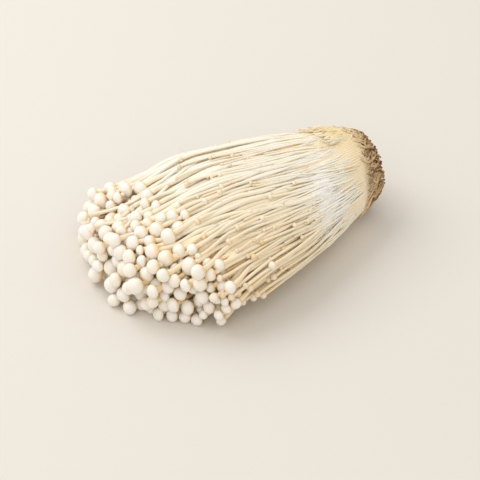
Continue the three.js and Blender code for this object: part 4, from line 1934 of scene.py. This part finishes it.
@dataclass
class GrowingBlock:
    """The slice of growing block: pressed sawdust and bran under the dried, curling stem bases."""

    growth: Growth
    seed: int = 57
    strands: int = 170
    curls: int = 270
    stunted: int = 300
    crumbs: int = 420
    sides: int = 132

    def build(
        self, body: bpy.types.Material, bases: bpy.types.Material, flesh: bpy.types.Material
    ) -> list[bpy.types.Object]:
        """Models the block, the dried stem bases on it, the stunted stems of the collar and its crumbs.

        Args:
            body: the material of the block and its crumbs.
            bases: the material of the dried stem bases.
            flesh: the material of the stunted stems.

        Returns:
            The pieces.
        """
        return [
            self.pressed_body(body),
            self.dried_strands(bases),
            self.dried_curls(bases),
            self.stunted_stems(flesh),
            self.loose_crumbs(body),
        ]

    def pressed_body(self, finish: bpy.types.Material) -> bpy.types.Object:
        """Models the lumpy block between the cut face and the stems.

        Args:
            finish: the material of the block.

        Returns:
            The piece.
        """
        habit = self.growth.habit
        profile = [
            (0.12, 1.7), (0.3, 1.5), (0.48, 1.2), (0.64, 1.0), (0.75, 0.8), (0.84, 0.9), (0.89, 1.6),
            (0.905, 2.8), (0.905, 4.4), (0.90, 6.4), (0.89, 8.4), (0.88, 10.4), (0.87, 12.2),
            (0.84, 13.6), (0.3, 13.8),
        ]
        pattern = Pattern.turned("pressed_block", self.sides, profile)
        across, up, along = pattern.corners.T
        rho = np.hypot(across, up)
        phi = np.arctan2(up, across)
        s = along * MM
        lump = 0.02 * np.sin(5 * phi + 1.3) + 0.018 * np.sin(11 * phi + 500 * s)
        furrow = 0.035 * np.abs(np.sin(23 * phi + 2 * np.sin(4 * phi)))
        skin = smooth((rho - 0.85) / 0.1)
        hollow = smooth((0.9 - rho) / 0.2) * (s < 3 * MM)
        y, z = habit.section((rho + (lump - furrow) * skin) * habit.rounded(s, phi), phi, s)
        dip = 0.5 * MM * np.sin(7 * phi + 9 * rho) * rho * hollow
        points = habit.place(s - dip, y, z)
        piece = pattern.copied("pressed_block", points[None], {})
        pick(piece)
        modified(piece, "SUBSURF", levels=1, render_levels=1)
        for name, kind, size, depth in (("crumbly", "VORONOI", 2.6, 1.0), ("rough", "CLOUDS", 1.1, 0.6)):
            texture = bpy.data.textures.new(name, kind)
            texture.noise_scale = size * MM
            modified(
                piece, "DISPLACE", texture=texture, texture_coords="LOCAL", strength=depth * MM, mid_level=0.6
            )
        places = np.empty(len(piece.data.vertices) * 3)
        piece.data.vertices.foreach_get("co", places)
        places = above_table(places.reshape(-1, 3))
        piece.data.vertices.foreach_set("co", places.reshape(-1))
        # painted shade: the sides, seen only between the dried strands, are near black; the cut face is paler
        # straw
        on_face = smooth((places[:, 0] - (habit.front_x + habit.front - 3 * MM)) / (2 * MM))
        for name, values in (("tone", 0.2 + 0.45 * on_face), ("deep", 0.8 * (1 - on_face))):
            layer = piece.data.attributes.new(name, "FLOAT", "POINT")
            layer.data.foreach_set("value", values.astype(np.float32))
        return finished(piece, finish, BLOCK_NODE)

    def dried_strands(self, finish: bpy.types.Material) -> bpy.types.Object:
        """Models the dried stem bases that run from the cut face up over the foot.

        Args:
            finish: the material of the dried stem bases.

        Returns:
            The piece.
        """
        seed = np.random.default_rng(self.seed)
        count = self.strands
        phi = (np.arange(count) + seed.random(count)) / count * 2 * math.pi
        near = np.maximum(-np.cos(phi), 0)
        first = seed.uniform(0.5, 3.0, count) * MM
        last = (seed.uniform(8, 15, count) + near * seed.uniform(2, 8, count)) * MM
        radii = seed.uniform(0.4, 0.85, count) * MM
        proud = seed.uniform(-0.8, 1.6, count) * MM
        tone = seed.uniform(0.15, 1.0, (count, 1))

        def marks(s: np.ndarray, angle: np.ndarray, share: np.ndarray) -> Marks:
            """Marks the strands: brown at the cut face, straw further on.

            Args:
                s: distances from the cut face.
                angle: angles about the axis.
                share: shares of the way along the strand. Not used.

            Returns:
                The marks, by name.
            """
            away = smooth((s - 1 * MM) / (12 * MM + 25 * MM * np.maximum(-np.cos(angle), 0)))
            at_cut = 0.4 * (1 - smooth(s / (6 * MM)))
            withered = 0.9 * smooth((0.46 - tone) / 0.2) * (1 - away)
            deep = np.clip(at_cut + withered, 0, 1)
            return {"tone": np.clip(tone * 0.6 + away, 0, 1), "deep": deep, "fresh": away}

        strands = Strands(self.growth.habit, "dried_strands", 6, 12)
        piece = strands.build(
            phi, first, last, radii, proud, marks, seed, wander=0.08, curl=0.13, waist=0.985
        )
        return finished(piece, finish, BLOCK_NODE)

    def dried_curls(self, finish: bpy.types.Material) -> bpy.types.Object:
        """Models the thin dried bases that have come away and curl.

        Args:
            finish: the material of the dried stem bases.

        Returns:
            The piece.
        """
        habit = self.growth.habit
        seed = np.random.default_rng(self.seed + 2)
        count = self.curls
        phi = seed.random(count) * 2 * math.pi
        near = np.maximum(-np.cos(phi), 0)
        s = seed.uniform(1.0, 9.0, count) * MM + near * seed.uniform(0, 14, count) * MM
        roots = habit.place(s, *habit.section(0.96 * habit.rounded(s, phi), phi, s, 0.1 * MM))
        out = habit.outward(s, phi)
        aside = unit(np.cross(out, [1.0, 0, 0]))
        starts = unit(
            np.array([-1.0, 0, 0]) * seed.uniform(0.8, 1.2, count)[:, None]
            + out * seed.uniform(0.1, 0.4, count)[:, None]
            + aside * seed.normal(size=count)[:, None] * 0.25
        )
        bends = -out * seed.uniform(0.3, 1.0, count)[:, None] + aside * seed.normal(size=count)[:, None] * 0.7
        lengths = seed.uniform(3.0, 8.5, count) * MM * (1 - 0.3 * near)
        radii = seed.uniform(0.16, 0.42, count) * MM
        far = smooth((s - (9 + 6 * near) * MM) / (7 * MM))
        marks = {
            "tone": seed.uniform(0.0, 1, count),
            "deep": 0.6 * seed.random(count) ** 2 * (1 - far),
            "fresh": np.minimum(0.6 * seed.random(count) ** 2 + 0.5 * far, 1),
        }
        piece = Fibres("dried_curls", 5, 8).build(roots, starts, bends, lengths, radii, marks, blunt=0.5)
        return finished(piece, finish, BLOCK_NODE)

    def stunted_stems(self, finish: bpy.types.Material) -> bpy.types.Object:
        """Models the stems that never grew out: fused in the collar, and ending in its ragged lip.

        Args:
            finish: the material of the stems.

        Returns:
            The piece.
        """
        seed = np.random.default_rng(self.seed + 3)
        count = self.stunted
        collar = np.arange(count) < 0.34 * count
        phi = np.where(collar, seed.uniform(0.2, 1.7, count), seed.uniform(0, 2 * math.pi, count))
        first = seed.uniform(4, 9, count) * MM
        last = np.where(collar, seed.uniform(26, 32, count), seed.uniform(26, 70, count)) * MM
        radii = np.where(collar, seed.uniform(0.6, 1.0, count), seed.uniform(0.4, 0.8, count)) * MM
        proud = np.where(collar, seed.uniform(1.6, 4.2, count), seed.uniform(-0.2, 0.4, count)) * MM
        ageing_and_shade = AgeingAndPaintedShade(self.growth.habit)
        tone = seed.uniform(0.2, 0.9, (count, 1))

        def marks(s: np.ndarray, angle: np.ndarray, share: np.ndarray) -> Marks:
            """Marks the stunted stems: gold where they are fused, brown at some tips.

            Args:
                s: distances from the cut face.
                angle: angles about the axis.
                share: shares of the way along the stem.

            Returns:
                The marks, by name.
            """
            values = ageing_and_shade.marks(s, angle)
            values["tone"] = np.broadcast_to(tone, s.shape)
            browned = smooth((share - 0.8) / 0.2) * smooth((tone - 0.62) / 0.2) * 0.5
            values["dry"] = np.maximum(values["dry"], browned)
            return values

        strands = Strands(self.growth.habit, "stunted_stems", 7, 14)
        piece = strands.build(phi, first, last, radii, proud, marks, seed, wander=0.03)
        return finished(piece, finish, BUNCH_NODE)

    def loose_crumbs(self, finish: bpy.types.Material) -> bpy.types.Object:
        """Models crumbs of sawdust and bran on the cut face and the side.

        Args:
            finish: the material of the block.

        Returns:
            The piece.
        """
        habit = self.growth.habit
        seed = np.random.default_rng(self.seed + 1)
        bpy.ops.object.select_all(action="DESELECT")
        bpy.ops.mesh.primitive_ico_sphere_add(subdivisions=1, radius=1)
        pattern = Pattern.taken_from(bpy.context.object)
        count = self.crumbs
        on_face = seed.random(count) < 0.85
        phi = seed.random(count) * 2 * math.pi
        rho = np.where(on_face, 0.93 * np.sqrt(seed.random(count)), 0.95)
        s = np.where(on_face, 1.0, seed.uniform(1.5, 10, count)) * MM
        middle = habit.place(s, *habit.section(rho * habit.rounded(s, phi), phi, s))
        size = seed.uniform(0.3, 0.8, (count, 1, 3)) * MM
        bumps = 1 + 0.3 * seed.normal(size=(count, len(pattern.corners), 1)) * 0.6
        points = above_table(middle[:, None] + pattern.corners[None] * size * bumps)
        shape = (count, len(pattern.corners))
        marks = {
            "tone": np.broadcast_to(seed.random(count)[:, None], shape),
            "deep": np.broadcast_to(0.3 * seed.random(count)[:, None], shape),
        }
        return finished(pattern.copied("block_crumbs", points, marks), finish, BLOCK_NODE)


# ---------------------------------------------------------------- the studio


@dataclass
class Studio:
    """The camera, soft lights and a plain pale floor."""

    target: tuple[float, float, float] = (-11.8 * MM, -18.9 * MM, 19.7 * MM)
    azimuth: float = math.radians(-32.4)
    elevation: float = math.radians(38)
    distance: float = 820 * MM
    lens: float = 110.1
    floor_size: float = 6.0
    sky_colour: Colour = (1.0, 0.99, 0.97)
    sky_strength: float = 0.80

    def set_up(self) -> None:
        """Makes the camera, the floor and the lights."""
        self.add_camera()
        self.lay_floor()
        self.sky()
        self.softbox("key", (-0.45, 0.9, 1.2), 1.2, 11)
        self.softbox("fill", (-0.9, -1.3, 1.3), 1.8, 6)

    def add_camera(self) -> None:
        """Makes the camera and looks through it."""
        back = Vector(
            (
                math.sin(self.azimuth) * math.cos(self.elevation),
                -math.cos(self.azimuth) * math.cos(self.elevation),
                math.sin(self.elevation),
            )
        )
        place = Vector(self.target) + back * self.distance
        bpy.ops.object.camera_add(location=place, rotation=back.to_track_quat("Z", "Y").to_euler())
        camera = bpy.context.object
        camera.data.lens = self.lens
        camera.data.sensor_width = 36
        camera.data.clip_start = 0.01
        bpy.context.scene.camera = camera

    def lay_floor(self) -> None:
        """Makes the floor that the bunch lies on."""
        bpy.ops.mesh.primitive_plane_add(size=self.floor_size, location=(0, 0, 0))
        floor = bpy.context.object
        floor.name = "floor"
        floor.data.materials.append(FloorFinish().make())

    def sky(self) -> None:
        """Makes an even soft light from all around."""
        world = bpy.data.worlds.new("soft_room")
        world.use_nodes = True
        background = world.node_tree.nodes["Background"]
        background.inputs["Color"].default_value = (*self.sky_colour, 1.0)
        background.inputs["Strength"].default_value = self.sky_strength
        bpy.context.scene.world = world
        bpy.context.scene.view_settings.view_transform = "Standard"

    def softbox(self, name: str, place: tuple[float, float, float], size: float, power: float) -> None:
        """Hangs one large soft light and points it at the bunch.

        Args:
            name: its name.
            place: where it hangs, in metres.
            size: the length of its side.
            power: how strong it is, in watts.
        """
        aim = (Vector(place) - Vector(self.target)).to_track_quat("Z", "Y").to_euler()
        bpy.ops.object.light_add(type="AREA", location=place, rotation=aim)
        light = bpy.context.object
        light.name = name
        light.data.size = size
        light.data.energy = power


def main() -> None:
    """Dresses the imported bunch, piece by piece."""
    logging.basicConfig(level=logging.INFO, format="%(message)s")
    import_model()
    Studio().set_up()
    growth = Growth(Habit())
    ageing_and_shade = AgeingAndPaintedShade(growth.habit)
    flesh = StemFinish().make()
    crust = DryFinish("block_crust")
    bases = DryFinish("dry_base_skin", grain_size=1.2, crack_depth=0.15 * MM, fibrous=True)
    GrowingBlock(growth).build(crust.make(), bases.make(), flesh)
    Stems(growth, ageing_and_shade, "outer_stems", (Layer.OUTER, Layer.OVER), sides=8, rings=44).build(flesh)
    # the second and inner stems carry painted warm shade, as they are seen only in the gaps
    Stems(growth, ageing_and_shade, "second_stems", (Layer.SECOND,), sides=7, rings=26, depth=0.45).build(flesh)
    Stems(growth, ageing_and_shade, "inner_stems", (Layer.INNER,), sides=7, rings=14, depth=0.6).build(flesh)
    Caps(growth).build(CapFinish().make())
    PackedHeart(growth, ageing_and_shade).build(flesh)
    Mycelium(growth).build(FuzzFinish().make(), flesh)


if __name__ == "__main__":
    main()
